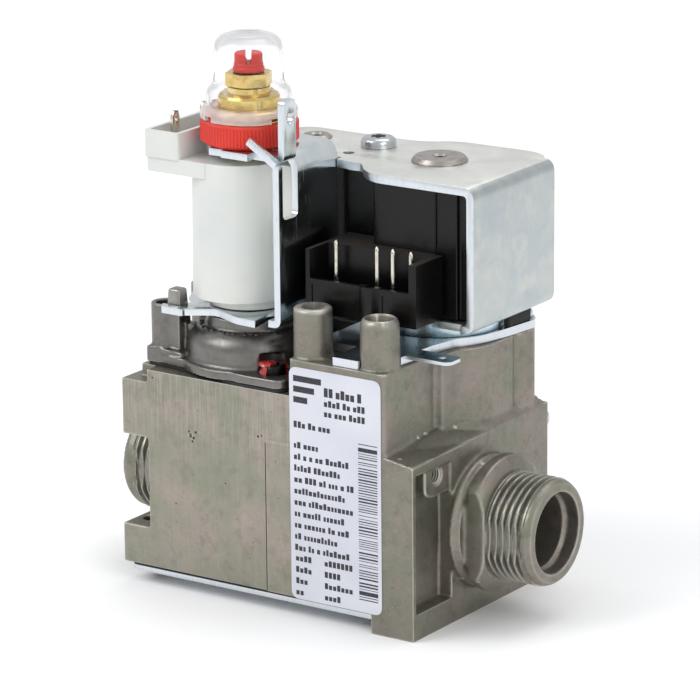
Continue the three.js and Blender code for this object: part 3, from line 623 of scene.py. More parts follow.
def body_blocks():
    upper = [
        [7, -30, 1], [34.2, -30, 1.6], [34.4, -8.8, 0.8], [36.4, -8.2, 0.8], [37, -1.5, 2], [40.6, 4, 3],
        [41.1, 15.6, 0.6], [40.5, 16.3, 0.5], [40.6, 17.6, 0.5], [41.4, 18.2, 0.6], [41.6, 26, 3],
        [36, 29, 3], [7, 29, 1],
    ]
    return join(
        slab(-35.4, 8, -29.6, 30, 5, 55.2),
        slab(0, 36, -30, 30, 5, 42.7),
        prism(upper, 42, TOP),
        cut(slab(-27, 8, 5.5, 29, 50, TOP), post(*MOD, 49, 66, 18)),
        slab(-43, -34.4, -29.6, -21, 38, 52),
        slab(-39.8, -34.4, -25.6, 6, 47, 55.2),
        slab(-43.5, -34.4, -29.6, -14, 5, 15),
        outlet_flange(),
        slab(-7.4, -5.0, -29.85, -28, 6, 31),
    )


def body_columns():
    (first, first_r), (second, second_r) = NIPPLES
    return join(
        post(first, NIPPLE_Y, 60, 65.6, first_r + 0.1),
        post(second, NIPPLE_Y, 45.3, 66, second_r + 0.2, second_r + 0.1),
        post(38, 23, 44, TOP, 3.9),
        post(36.9, 21.5, 47, 63, 4.3),
    )


def nipples():
    """The two test nipples: a plain tube, and one with a rounded mouth."""
    (first, first_r), (second, second_r) = NIPPLES
    plain = [(0, 62), (first_r + 0.12, 62), (first_r + 0.1, 66),
             (first_r + 0.06, 70), (first_r + 0.02, 75.4), (first_r, 76.1), (first_r - 0.4, 76.5), (0, 76.5)]
    mouth = [(0, 62), (second_r + 0.15, 62), (second_r + 0.12, 66), (second_r + 0.07, 70),
             (second_r + 0.02, 74.2),
             (second_r, 74.9), (second_r - 0.15, 75.6), (second_r - 0.5, 76.2),
             (second_r - 0.9, 76.5), (0, 76.5)]
    return [turned(plain, first, NIPPLE_Y, 72), turned(mouth, second, NIPPLE_Y, 72)]


def front_marks():
    """The step line beside the label and the casting pits on the front face."""
    line = section([[-0.5, 5.4], [0.05, 5.4], [0.05, 42.6], [-0.5, 42.4]], -31, -29.5)
    pits = [peg(-31, -29.35, r, x, z, 10) for x, z, r in (
        (-22.4, 40.6, 0.55), (-21.5, 40.1, 0.4), (-20.9, 41.6, 0.35), (-22.9, 41.5, 0.25), (-21.9, 39.2, 0.3),
        (-33.6, 53.4, 0.25), (-2.4, 43.6, 0.35), (-1.5, 43.9, 0.25), (-12.3, 30.2, 0.2), (-27.2, 22.5, 0.2),
    )]
    return [line, *pits]


def nipple_bores():
    (first, _), (second, _) = NIPPLES
    return [post(first, NIPPLE_Y, 63, 78, 2.75, None, 48), post(second, NIPPLE_Y, 63, 78, 3.3, None, 48),
            post(second, NIPPLE_Y, 75.8, 78, 3.3, 4.4, 48)]


def body_ports():
    ring_profile = [(0, 38), (16.2, 38), (16.2, 43.4), (15.9, 44), (15.3, 44.3), (14.9, 45.2), (0, 45.2)]
    collar_profile = [(0, 44), (15, 44), (15.2, 46.2), (16.8, 46.4), (16.8, 49), (15.4, 50.2), (14, 50.9),
                      (0, 50.9)]
    return join(
        along_x(turned(ring_profile)),
        common(along_x(turned(collar_profile)), slab(40, 60, -13, 13, 0, 60)),
        pipe(41, 62.2, 12.2),
        pipe(62.15, 63.4, 12.9, 12.1),
        pipe(60.6, 62.2, 12.9),
        pipe(-52, -34.4, 12.2),
        pipe(-56.4, -55.2, 12.1, 12.9),
        pipe(-55.2, -52, 12.9),
        pipe(-38.4, -34.4, 15.3),
    )


def body_hollows():
    (first, _), (second, _) = NIPPLES
    return [
        pipe(-57.4, -52.4, 9.9), pipe(-56.4, 3, 9), pipe(59.4, 64.4, 9.9), pipe(10, 63.4, 9),
        post(*EV1, 52, 66, 7.6), post(*EV2, 52, 66, 4.9), post(*MOD, 46, 56.2, 8),
        post(-4, 0, 4, 12.2, 15),
        cut(slab(38.3, 43, -28.6, -13.4, 6.5, 40.8),
            pocket_boss(),
            slab(38, 39.6, -28.7, -25.9, 6.4, 17.4)),
        pipe(33, 43, 2.05, y=-18.9, z=38.3, sides=40),
        pipe(41.2, 43, 2.05, 2.6, y=-18.9, z=38.3, sides=40),
        post(-39.8, -23, 8, 16, 2, None, 32),
        *screw_holes(BOTTOM_SCREWS, 4, 15.5),
        *screw_holes(COVER_SCREWS.values(), 48.6, 60),
        *screw_holes(PLATE_SCREWS, 52, 66),
        peg(24, 31, 2.15, 38.4, 39.8, 24),
    ]


def pocket_boss():
    """The rounded boss round the threaded hole in the flange's pocket."""
    return endwise([[-24.2, 41.5, 0], [-24.2, 34.6, 1.5], [-21.4, 33.3, 1.4], [-13, 33.3, 0],
                    [-13, 41.5, 0]], 38, 41.6)


def make_body():
    rough = cut(join(body_blocks(), body_columns(), body_ports()), *body_hollows())
    body = cut(join(melted(rough, 0.4, 1), *nipples()), *nipple_bores(), *front_marks())
    body = joined([body, *pocket_thread()])
    made("body_casting", body, CAST, "cast", nodes=["valve_body"], smooth=60)
    brushed_front(body)
    for name, x0, x1 in (("outlet_thread", 50.7, 61.2), ("inlet_thread", -53.2, -38.3)):
        made(name, cut(thread(x0, x1), pipe(x0 - 1, x1 + 1, 11.2)), THREAD, "cast", smooth=50)


def brushed_front(body):
    """The sanded left part of the front face has its own streaked look."""
    limit_x, limit_y = (7.5 + SHIFT.x) * MM, (-29 + SHIFT.y) * MM
    painted(body, CAST_BRUSHED, lambda face: (
        face.normal.y < -0.7 and face.center.y < limit_y and face.center.x < limit_x))


def pocket_thread():
    """A few thread crests inside the tapped hole."""
    rings = []
    for k in range(5):
        x = 40.9 - 0.7 * k
        shape = turned([(2.2, x - 0.3), (1.72, x), (2.2, x + 0.3)], sides=40)
        rings.append(along_x(shape, -18.9, 38.3))
    return rings


make_body()

# ------------------------------------------------------------------ screws and bottom plate


def recess(x, y, z0, z1, r, lobes=6):
    """A six-lobed screwdriver recess."""
    outline = []
    for i in range(lobes * 12):
        turn = 2 * math.pi * i / (lobes * 12)
        radius = r * (0.86 + 0.14 * math.cos(lobes * turn))
        outline.append((x + radius * math.cos(turn), y + radius * math.sin(turn)))
    return moved(raised(outline, z1 - z0), Matrix.Translation((0, 0, z0)))


def screw(x, y, z, head_r, head_h, shank_r, length):
    profile = [(0, z - length), (shank_r * 0.7, z - length), (shank_r, z - length + 0.6), (shank_r, z),
               (head_r, z)]
    for k in range(9):
        turn = math.pi / 2 * k / 8
        profile.append((head_r * (0.7 + 0.3 * math.cos(turn)), z + head_h * (0.35 + 0.6 * math.sin(turn))))
    profile.append((0, z + head_h))
    return cut(turned(profile, x, y, 56), recess(x, y, z + head_h * 0.4, z + head_h + 1, head_r * 0.48))


def make_screws():
    for side, (x, y) in COVER_SCREWS.items():
        radius = 3.1 if side in ("sealed", "right") else 2.3
        node = f"regulator_screw_{side}"
        metal = DARK_STEEL if side == "sealed" else STEEL
        made(node + "_head", screw(x, y, 58.25, radius, 2.2, 1.7, 8.6), metal, "steel", nodes=[node])
    for i, (x, y) in enumerate(PLATE_SCREWS, 1):
        node = f"base_plate_screw_{i}"
        made(node + "_head", screw(x, y, 66.65, 3, 2, 1.7, 13.5), STEEL, "steel", nodes=[node])
    made("yoke_screw_head", screw(*YOKE_SCREW, YOKE_TOP + 0.05, 4.35, 2.4, 1.9, 11), STEEL, "steel",
         nodes=["yoke_screw"])
    for i, (x, y) in enumerate(BOTTOM_SCREWS, 1):
        shape = moved(screw(0, 0, 0, 3.1, 2.1, 1.7, 11.2), Matrix.Rotation(math.pi, 4, "X"))
        moved(shape, Matrix.Translation((x, y, 3.28)))
        made(f"bottom_screw_{i}_head", shape, DARK_STEEL, "steel", nodes=[f"bottom_screw_{i}"])
    plug = moved(screw(0, 0, 0, 3.3, 2.38, 2, 5), Matrix.Rotation(-math.pi / 2, 4, "X"))
    made("rear_plug", moved(plug, Matrix.Translation((38.4, 30.02, 39.8))), STEEL, "steel",
         nodes=["rear_plug_screw"])
    seal = [(0, 58.25), (3.7, 58.25), (3.6, 58.7), (3.2, 59.4), (3.15, 60.1), (0, 60.1)]
    x, y = COVER_SCREWS["sealed"]
    drop = [(0, 59), (2.2, 59), (2.3, 60.2), (1.9, 60.9), (0, 61.1)]
    ring_of_paint = cut(turned(seal, x, y, 40), post(x, y, 57, 62, 3.12),
                        slab(x, x + 5, y - 5, y + 0.6, 57, 62))
    paint = joined([ring_of_paint, common(turned(drop, x - 1.3, y - 1.0, 32),
                                          slab(x - 4, x + 0.4, y - 4, y + 4, 60.2, 62))])
    made("sealing_lacquer", paint, LACQUER, "red_plastic", smooth=70)


def make_bottom():
    corners = [
        [-41.6, -29.2, 2], [34.6, -29.2, 1], [34.6, 29.2, 1], [-35, 29.2, 2], [-35, -16, 1], [-41.6, -16, 2],
    ]
    plate = cut(prism(corners, 3.3, 4.5), *screw_holes(BOTTOM_SCREWS, 0, 6))
    made("bottom_plate", bevelled(plate, 0.2), EDGE, "zinc", nodes=["bottom_cover"])
    gasket = cut(prism(corners, 4.52, 4.98), post(-4, 0, 4, 6, 15))
    made("bottom_seal", gasket, RUBBER, "rubber", nodes=["bottom_gasket"])


make_screws()
make_bottom()

# ------------------------------------------------------------------ label


LABEL_FACE = -30.2
PRINT_FACE = -30.22
PRINT_GAP = 0.28
LINE_PITCH = 2.84
MARGIN = 8.4


def plate_on_front(x0, x1, z0, z1, r, y_back, y_front):
    corners = [[x0, z0, r], [x1, z0, r], [x1, z1, r], [x0, z1, r]]
    return section(corners, y_front, y_back)


def print_row(x, z, height, cells, chance):
    """A row of small blocks that stands for a line of print."""
    blocks = []
    for width in cells:
        if width < 0:
            x -= width
            continue
        tall = height if chance.random() < 0.35 else height * 0.72
        blocks.append(slab(x, x + width, PRINT_FACE, LABEL_FACE, z, z + tall))
        x += width + PRINT_GAP
    return blocks


def make_label():
    look = Look("label_film", "D2D4DC", 0.32, 0.0, Coat_Weight=0.3, Coat_Roughness=0.2)
    tint = look.mix(look.spread(look.noise(20, 1, shift=3.0), 0.35, 0.7), look.base, linear("C6C8D2"))
    look.bump(look.noise(5, 1), 0.05, 0.3)
    look.set(Base_Color=tint)
    film = plate_on_front(7.2, 33.2, 5, 62.8, 2.2, -30.02, LABEL_FACE)
    made("label_film", bevelled(film, 0.05), look.done(), "label", nodes=["rating_label"])
    ink = Look("label_ink", "23232B", 0.5)
    ink.set(Base_Color=ink.mix(ink.spread(ink.noise(0.3, 2), 0.5, 0.8), ink.base, linear("4A4A55")))
    ink = ink.done()
    bars = [
        slab(MARGIN, MARGIN + length, PRINT_FACE, LABEL_FACE + 0.01, z, z + 1.5)
        for z, length in ((59.3, 8.0), (56.7, 6.0), (54.1, 4.0))
    ]
    made("label_mark", joined(bars), ink, "label")
    chance = random.Random(7)
    blocks = []
    for x, z, height, widths in (
        (17.2, 56.7, 2.2, (1.1, 1.1, -0.6, 1.1, 1.1, 1.1, 1.1, -0.6, 1.1)),
        (17.2, 54.3, 1.6, (0.9, 0.9, 0.9, 0.9, -0.6, 0.9, 0.9, -0.6, 0.9, 0.9, 0.9)),
        (17.2, 51.8, 1.6, (0.9, 0.9, -0.6, 0.9, 0.9, 0.9, -0.6, 0.9, 0.9, 0.9, 0.9)),
        (MARGIN, 47.9, 1.6, (0.9, 0.9, 0.9, -0.6, 0.9, 0.9, -0.6, 0.9, 0.9, 0.9)),
    ):
        blocks += print_row(x, z, height, widths, chance)
    ends = (16.2, 24.0, 22.8, 25.4, 23.0, 25.4, 22.8, 24.4, 22.0, 24.2)
    for row, end in enumerate(ends):
        z = 42.8 - LINE_PITCH * row
        widths, reach = [], MARGIN
        while reach < end - 0.8:
            width = chance.choice((0.65, 0.85, 0.95))
            widths.append(width)
            reach += width + PRINT_GAP
            if chance.random() < 0.22:
                widths.append(-0.6)
                reach += 0.6
        blocks += print_row(MARGIN, z, 1.55, widths, chance)
    for row, (first, second) in enumerate(((4, 7), (4, 4), (3, 7), (2, 4))):
        z = 14.6 - LINE_PITCH * row
        blocks += print_row(8.6, z, 1.5, [0.9] * first, chance)
        blocks += print_row(16.9, z, 1.5, [0.9] * second, chance)
    z = 46.8
    while z > 8:
        height = 1.0 if 45.5 < z < 46.4 or 9.4 < z < 10.6 else chance.choice((0.16, 0.2, 0.26, 0.4))
        blocks.append(slab(26.8, 32.2, PRINT_FACE, LABEL_FACE, z - height, z))
        z -= height + chance.choice((0.36, 0.42, 0.42, 0.75))
    made("label_print", joined(blocks), ink, "label")


make_label()

# ------------------------------------------------------------------ regulator


def make_regulator():
    plan = [
        [-38.8, -25, 2.5], [-25, -26.6, 3], [-8, -29.9, 4], [4.4, -29.7, 3], [5.4, -20, 4], [4.4, 2, 4],
        [-20, 4, 4], [-38.8, 3, 4],
    ]
    profile = [(0, 56), (17.4, 56), (17.4, 57.9), (17.2, 58.2), (16.3, 58.4), (15.9, 59.2), (15.8, 61.8)]
    turns = [math.pi / 20 * k for k in range(1, 11)]
    profile += [(11.3 + 4.5 * math.cos(t), 61.9 + 4.5 * math.sin(t)) for t in turns]
    profile += [(11.2, 66.8), (11.1, 69.1), (0, 69.1)]
    front, back = COVER_SCREWS["front"], COVER_SCREWS["back"]
    sealed = COVER_SCREWS["sealed"]
    cover = join(
        prism(plan, 56, 58.2),
        turned(profile, *MOD, 128),
        post(*front, 56, 70.6, 3.6), slab(-35, -29.4, -23.9, -19, 56, 69.2),
        section([[-38.4, 56, 0], [-38.4, 60, 0.8], [-27.6, 59.4, 0.8], [-27.6, 56, 0]], -25.5, -20),
        post(-28, -20.6, 56, 66, 1.4), slab(-32, -20, -22, -8, 56, 62),
        post(*back, 56, 71.2, 3.6), slab(-36.2, -26, -6, -1.5, 56, 66),
    )
    cover = cut(
        cover,
        post(*MOD, 55, 65.6, 9.4), post(*MOD, 60, 72, MOD_BORE_R),
        post(*sealed, 58.2, 62.4, 3.9), post(COVER_SCREWS["right"][0], COVER_SCREWS["right"][1], 58.2, 66,
                                             3.6),
        post(*front, 58.2, 72, 2.45), post(*back, 58.2, 72, 2.45),
        *screw_holes(COVER_SCREWS.values(), 50, 68),
    )
    cover = melted(cover, 0.34, 2)
    locator = solid(
        [(x, y, z) for z, g in ((68.8, 0), (74.9, 0.35)) for x, y in (
            (-32.4 + g, -25.1 + g), (-28.3 - g, -25.1 + g), (-28.3 - g, -21.0 - g), (-32.4 + g, -21.0 - g))],
        [(3, 2, 1, 0), (4, 5, 6, 7), (0, 1, 5, 4), (1, 2, 6, 5), (2, 3, 7, 6), (3, 0, 4, 7)])
    locator = bevelled(locator, 0.55, 3)
    made("regulator_housing", joined([cover, locator]), DARK_CAST, "dark_cast", nodes=["regulator_cover"],
         smooth=60)
    neck = []
    for k in range(26):
        turn = math.radians(-150 + 6.2 * k)
        if k % 5 == 3:
            continue
        mark = slab(11.6, 12.9 - 0.5 * (k % 2), -0.28, 0.28, 65.6, 66.5)
        place = Matrix.Translation((MOD[0], MOD[1], 0)) @ Matrix.Rotation(turn, 4, "Z")
        neck.append(moved(mark, place))
    made("cast_marks", joined(neck), metal_look("cast_mark", "55534F", "444240", 0.4), "dark_cast")
    film = prism(plan, 55.25, 55.95)
    made("regulator_diaphragm_rim", bevelled(cut(film, post(*MOD, 50, 60, 3.2)), 0.15), RUBBER, "rubber",
         nodes=["regulator_diaphragm"])


make_regulator()

# ------------------------------------------------------------------ modulator coil and bracket


def make_modulator_coil():
    top = 107.2
    body = join(
        post(-18.4, -12.6, 73.4, top, 12.1, 11.75, 128),
        slab(-18, -1, -16, -9, 73.4, top),
        prism([[-37.9, -24.4, 0.8], [-20.4, -24.5, 0.7], [-20.4, -0.7, 0.7], [-37.9, -0.8, 0.8]], 103.4, top),
        post(-16.4, -12.6, 71.5, 74, 9.6), post(-18.4, -12.6, 73.9, 74.3, 12.0),
        prism([[-38.2, -24.9, 1], [-27.9, -24.9, 1], [-27.9, -0.4, 1], [-38.2, -0.4, 1]], top - 0.2, 113.6),
    )
    body = cut(
        body,
        prism([[-37.1, -23.8, 0.7], [-29, -23.8, 0.7], [-29, -1.5, 0.7], [-37.1, -1.5, 0.7]], top + 0.6,
              114.6),
        post(*MOD, 70, 110, MOD_BORE_R),
        *[slab(-34, -33, y - 1.5, y + 1.5, 103, 110) for y in (-18.4, -6.4)],
    )
    made("modulator_bobbin", bevelled(body, 0.45, 3), WHITE, "white_plastic", nodes=["modulator_coil"])
    for i, y in enumerate((-18.4, -6.4), 1):
        outline = [[y - 1.4, 103.8, 0], [y + 1.4, 103.8, 0], [y + 1.4, 116.4, 1.1], [y + 0.7, 117.5, 0.3],
                   [y - 0.7, 117.5, 0.3], [y - 1.4, 116.4, 1.1]]
        blade = cut(endwise(outline, -33.9, -33.1), pipe(-35, -32, 0.65, y=y, z=115.4, sides=32))
        made(f"modulator_blade_{i}", bevelled(blade, 0.1), PIN, "nickel", nodes=[f"modulator_terminal_{i}"])
    core = join(
        post(*MOD, 65.8, 117.5, 4.5), post(*MOD, 69.2, 69.45, 7),
    )
    core = cut(core, post(*MOD, 64, 104, 3.7), post(*MOD, 103, 119, 2.7))
    made("modulator_core", core, BRASS, "brass", nodes=["modulator_core_tube"])


def make_modulator_bracket():
    outer, inner, sheet = 1.0, -0.7, 1.7
    near, far = -24.5, 0.3
    floor, roof, top = 69.5, 109.3, 111.0
    plan = [
        [-33.2, -25.3, 0.6], [-31.9, -27.7, 0.4], [-25.9, -27.7, 0.4], [-25.6, -26.8, 0], [-19.2, -22.8, 2],
        [-10.7, -26.5, 2], [-4.8, -26.9, 0.4], [-6.2, -16.4, 0], [inner - 0.2, -16.4, 0],
        [inner - 0.2, -2.4, 0],
        [-27, -2.4, 5], [-33.7, -9, 2], [-33.7, -12.3, 1], [-30.3, -18.8, 1], [-28, -20.8, 0.4],
        [-28, -25.3, 0.4],
    ]
    strip = section([
        [-15.7, roof, 0], [-15.7, top, 0], [outer, top, 5], [outer, floor, 2.2], [-8, floor, 0],
        [-8, floor + sheet, 0], [inner, floor + sheet, 0.5], [inner, roof, 3.3],
    ], near, far)
    slot = endwise([[-22.9, 125, 0], [-22.9, 95.7, 1.6], [-16.7, 95.7, 1.6], [-16.7, 125, 0]], inner - 1.5,
                   outer + 1)
    strip = cut(strip, slot, slab(-8, outer + 1, near - 1, -16.7, 107.8, 125),
                slab(-9, -2.6, near - 1, -16.4, 60, 75))
    tab_side = [[-8.5, roof, 0], [-8.5, top, 0], [inner, top, 0.6], [inner, 124.4, 0], [outer, 124.4, 0],
                [outer, roof, 2.0]]
    tab = common(section(tab_side, -22.1, -17.1),
                 endwise([[-22.1, 100, 0], [-22.1, 124.4, 1.3], [-17.1, 124.4, 1.3], [-17.1, 100, 0]], -9, 3))
    tab = cut(tab, pipe(inner - 1, outer + 1, 1.55, y=-19.5, z=120.1, sides=40))
    finger = slab(-sheet / 2, sheet / 2, -0.8, 0.8, -4.7, 4.7)
    lean = Matrix.Translation((-4.0, near + 0.8, 111.6)) @ Matrix.Rotation(-1.0, 4, "Y")
    bracket = join(
        strip,
        post(*MOD, roof, top, 10.6),
        slab(-19.9, -8.4, near + 1, far, roof, top),
        prism(plan, floor, floor + sheet),
        tab, moved(finger, lean),
        slab(inner, outer, near, near + 1.6, 106.6, 109.2),
    )
    bracket = cut(bracket, post(*MOD, 60, 130, MOD_BORE_R))
    shape = made("modulator_frame", bevelled(bracket, 0.28, 3, 40), ZINC_BENT, "zinc",
                 nodes=["modulator_bracket"])
    show_edges(shape, 0.9, 156)


def show_edges(shape, steepness, largest=math.inf):
    """The front edges of a sheet piece, up to an area in square millimetres, look sheared."""
    painted(shape, EDGE, lambda face: (
        face.normal.y < -steepness and face.normal.z < 0.5 and face.area < largest * MM * MM))


make_modulator_coil()
make_modulator_bracket()

# ------------------------------------------------------------------ adjuster


def knurled_outline(r, depth, teeth, sides=8):
    outline = []
    for i in range(teeth * sides):
        turn = 2 * math.pi * i / (teeth * sides)
        reach = r - depth * (0.5 + 0.5 * math.cos(teeth * turn)) ** 2
        outline.append((reach * math.cos(turn), reach * math.sin(turn)))
    return outline


def make_adjuster():
    x, y = MOD
    ribs = moved(raised(knurled_outline(11.9, 0.38, 84), 4.3), Matrix.Translation((x, y, 111.9)))
    smooth_rim = turned([(0, 111.15), (10.8, 111.15), (11.6, 112.2), (11.62, 117), (11.3, 117), (0, 117)],
                        x, y, 128)
    ring_shape = cut(join(ribs, smooth_rim), post(x, y, 112.4, 118, 9.2), post(x, y, 110, 114, MOD_BORE_R))
    made("red_ring", tidied(ring_shape), RED, "red_plastic", nodes=["knurled_ring"], smooth=28)
    profile = [
        (0, 113.2), (8.0, 113.2), (8.4, 113.6), (8.4, 116.6), (8.1, 116.9), (8.1, 117.3), (8.4, 117.6),
        (8.4, 119),
        (8.1, 119.3), (7.5, 119.5), (7.35, 120), (7.4, 122.3), (7.0, 122.9), (6.0, 123.1), (5.2, 123.1),
        (5.2, 124.5), (0, 124.5),
    ]
    brass = cut(turned(profile, x, y, 96), post(x, y, 112, 118, MOD_BORE_R), post(x, y, 117, 126, 3.1))
    made("brass_adjuster", brass, BRASS, "brass", nodes=["adjuster_body"], smooth=30)
    across = 5 / math.cos(math.pi / 6)
    hexagon = raised(ring(across, 6), 3.2)
    moved(hexagon, Matrix.Translation((x, y, 124.9)) @ Matrix.Rotation(math.radians(49.3), 4, "Z"))
    crown = turned([(0, 124.9), (5.5, 124.9), (5.9, 125.1), (5.9, 127.8), (5.4, 128.1), (0, 128.1)], x, y, 96)
    nut = join(common(hexagon, crown), post(x, y, 119, 125, 2.8))
    nut = cut(nut, post(x, y, 118, 130, 1.9))
    made("hexagon_nut", nut, BRASS, "brass", "max_adjuster", ["max_adjust_nut"], smooth=25)
    tip = [(0, 122), (1.6, 122), (1.6, 128.4), (3.8, 128.4), (3.8, 129.2), (3.55, 129.5), (3.55, 130.2),
           (3.4, 130.4),
           (3.35, 132.6), (3.0, 133), (0, 133)]
    slot = section([[-0.35, 130.2], [0.35, 130.2], [0.75, 131], [0.75, 134], [-0.75, 134], [-0.75, 131]],
                   -5, 5)
    moved(slot, Matrix.Translation((x, y, 0)) @ Matrix.Rotation(math.radians(34.3), 4, "Z"))
    pin = cut(turned(tip, x, y, 72), slot)
    made("red_screw", pin, RED, "red_plastic", "min_adjuster", ["min_adjust_screw"], smooth=30)
    outside = [
        (11.7, 117.3), (11.7, 118.9), (11.4, 119.6), (10.6, 120.1), (10.35, 120.7), (10.3, 123.2),
        (9.9, 124.2),
        (8.9, 125.2), (8.5, 125.9), (8.3, 128), (8.25, 134), (7.9, 135.6), (6.9, 136.7), (5.2, 137.3),
        (0, 137.4),
    ]
    skin = 0.8
    inside = [(max(r - skin, 0), z if i == 0 else z - skin * (0.25 + 0.75 * i / 14)) for i,
              (r, z) in enumerate(outside)]
    cap = turned([*outside[::-1], *inside], x, y, 128)
    slots = [moved(slab(9, 13, -1.2, 1.2, 116.5, 118.6),
                   Matrix.Translation((x, y, 0)) @ Matrix.Rotation(t, 4, "Z"))
             for t in (1.19, 2.76, 4.33, 5.9)]
    shape = made("clear_cap", cut(cap, *slots), CLEAR, "clear_plastic", "cap", ["dust_cap"], smooth=40)
    painted(shape, SKIRT, lambda face: face.center.z < 120.4 * MM)


make_adjuster()

# ------------------------------------------------------------------ solenoids


def make_yoke():
    plan = [
        [-26.5, 2, 5], [1.15, 1.6, 0], [1.15, -0.4, 0], [6.3, -1.5, 1.2], [8.9, -1.2, 1.2], [13, -6.4, 2.4],
        [17.5, -9.1, 2.6], [42.4, -9.1, 0], [42.4, 28.4, 2], [37.4, 31.2, 3], [15.8, 30.6, 4], [8, 25.4, 4],
        [-26.5, 25.2, 6],
    ]
    wall = section([
        [39.6, 104.3, 0], [39.6, 106.3, 0], [45.6, 106.3, 3.2], [45.6, 70.7, 3.2], [41.8, 70.7, 0],
        [41.8, 72.7, 0], [43.6, 72.7, 1.2], [43.6, 104.3, 1.2],
    ], -9.1, 27)
    corner = endwise([[-12, 60, 0], [-12, 110, 0], [24, 110, 0], [27, 106.3, 0], [27, 70.7, 2.5],
                      [20, 60, 0]], 35, 50)
    roof = prism(plan, YOKE_TOP - SHEET, YOKE_TOP)
    yoke = join(roof, common(wall, corner))
    yoke = cut(
        yoke, post(*EV1, 100, 115, 5.5), post(*EV2, 100, 115, 3.1), post(*YOKE_SCREW, 100, 115, 2.1),
        post(0, 6.4, 100, 115, 1.4),
    )
    shape = made("yoke_sheet", bevelled(yoke, 0.3, 3, 40), ZINC, "zinc", nodes=["solenoid_yoke"])
    # painted light: the upward faces take the lighter copy of the zinc
    painted(shape, ZINC_PAINTED_LIT_TOP, lambda face: face.normal.z > 0.9)
    show_edges(shape, 0.75)
    inner = prism([[-24, 5, 2], [13, 5, 1], [16, -7.6, 2], [41.2, -7.6, 0], [41.2, 26, 0], [-24, 26, 2]],
                  70.8, 72.6)
    inner = cut(inner, *coil_bores(60, 80))
    made("yoke_floor", bevelled(inner, 0.2), ZINC, "zinc", nodes=["yoke_base_plate"])


def make_coils():
    block = prism([
        [15.4, -6.6, 2], [33.4, -6.8, 0.4], [33.6, -6, 0.4], [39, -6, 0.4], [39.2, -5, 0.4], [42.9, -5, 1],
        [42.9, 28, 3], [11, 28, 3], [8, 24, 3], [-14, 24, 0], [-14, 8, 0], [1.6, 2.4, 1], [12.6, 1.6, 1],
    ], 72.9, 104.1)
    shroud = join(
        slab(4.3, 35.7, -18.6, -8.6, 73.1, 81.4),
        slab(4.3, 33.5, -10.6, 0, 73.1, SHROUD_TOP), slab(33, 35.7, -10.6, -7.2, 73.1, SHROUD_TOP),
        slab(4.3, 5.5, -18.6, -8.6, 73.1, SHROUD_TOP),
        slab(33.6, 35.7, -18.6, -8.6, 73.1, SHROUD_TOP),
        common(post(22.5, -17, 73.1, 81.7, 3.2), slab(10, 40, -19.9, -8.6, 60, 90)),
    )
    shroud = cut(shroud, slab(5.5, 33.6, -17.4, -10.6, 76, 90.5), post(22.5, -18.2, 78.5, 82.5, 1.1),
                 slab(6, 16, -18.9, -18.35, 74.5, 80), slab(26, 34, -18.9, -18.35, 74.5, 80))
    shape = join(block, post(*EV2, 72.9, 104.1, 10), shroud)
    shape = cut(
        shape, *[post(x, -13.9, 73.9, 77.1, 0.72, None, 16) for x in PIN_X],
        *coil_bores(60, 115), post(*YOKE_SCREW, 94, 115, 2.1),
    )
    shape = made("coil_cover", bevelled(shape, 0.3, 2, 40), BLACK, "black_plastic", nodes=["solenoid_coils"])
    corner_x = (33.6 + SHIFT.x) * MM

    def on_rim(face):
        return abs(face.center.z - SHROUD_TOP * MM) < 0.3 * MM and face.normal.z > 0.5

    # painted light: the shroud's top rim takes a brown copy of the black plastic, as if lit from above, and
    # its right corner a light grey painted highlight
    painted(shape, plastic_look("black_plastic_painted_lit_rim", "2B2623", "35302C", 0.4), on_rim)
    painted_highlight = plastic_look("black_plastic_painted_highlight", "77726C", "5C5853", 0.45)
    painted(shape, painted_highlight, lambda face: on_rim(face) and face.center.x > corner_x)
    for i, x in enumerate(PIN_X, 1):
        tip = turned([(0, 74.1), (0.6, 74.1), (0.6, 89.2), (0.5, 89.8), (0.25, 90.3), (0, 90.4)], x, -13.9,
                     24)
        made(f"pin_{i}", tip, PIN, "nickel", nodes=[f"connector_pin_{i}"], smooth=60)


def make_solenoid_base():
    plan = [
        [19, -29.4, 0.5], [26.4, -29.4, 0.5], [26.6, -19, 0.5], [33, -21.6, 1], [33.8, -8.2, 0.5],
        [35.4, -0.9, 1],
        [38.8, 4.2, 3], [40.4, 12, 3], [42, 24.6, 1.5], [38.5, 29, 3], [-26, 28.4, 3], [-26, 6, 0],
        [7.4, 6, 0],
        [7.4, -18.8, 1], [19, -18.8, 0.5],
    ]
    tab = prism([[32, -19.4, 0], [44.4, -19.4, 0.9], [45.3, -18, 0.3], [45.3, -14.4, 0.3], [44.4, -13.1, 0.9],
                 [32, -13.1, 0]], 65.8, 66.6)
    plate = join(prism(plan, 64.6, 66.6), tab)
    plate = cut(
        plate, post(*MOD, 60, 70, 18.2), post(10.4, NIPPLE_Y, 60, 70, 5), post(29.4, NIPPLE_Y, 60, 70, 5),
        *coil_bores(60, 70), post(41.5, -16.2, 60, 70, 0.9, None, 32),
        *screw_holes(PLATE_SCREWS, 60, 70),
    )
    shape = made("base_sheet", bevelled(plate, 0.22, 2, 40), ZINC_BASE, "zinc", nodes=["solenoid_base_plate"])
    painted(shape, EDGE, lambda face: abs(face.normal.z) < 0.5)
    flux = bevelled(tube(*EV1, 66.65, 70.7, 16, 9, 128), 0.2)
    made("flux_ring", flux, ZINC_BLUE, "zinc", nodes=["ev1_flux_ring"])
    pad = prism([[38.9, 14.6, 0.4], [40.6, 14.6, 0.6], [41.5, 23.2, 0.6], [39.9, 23.4, 0.4]], 66.65, 70.6)
    made("support_pad", bevelled(pad, 0.4), RUBBER, "rubber", nodes=["coil_support_pad"])


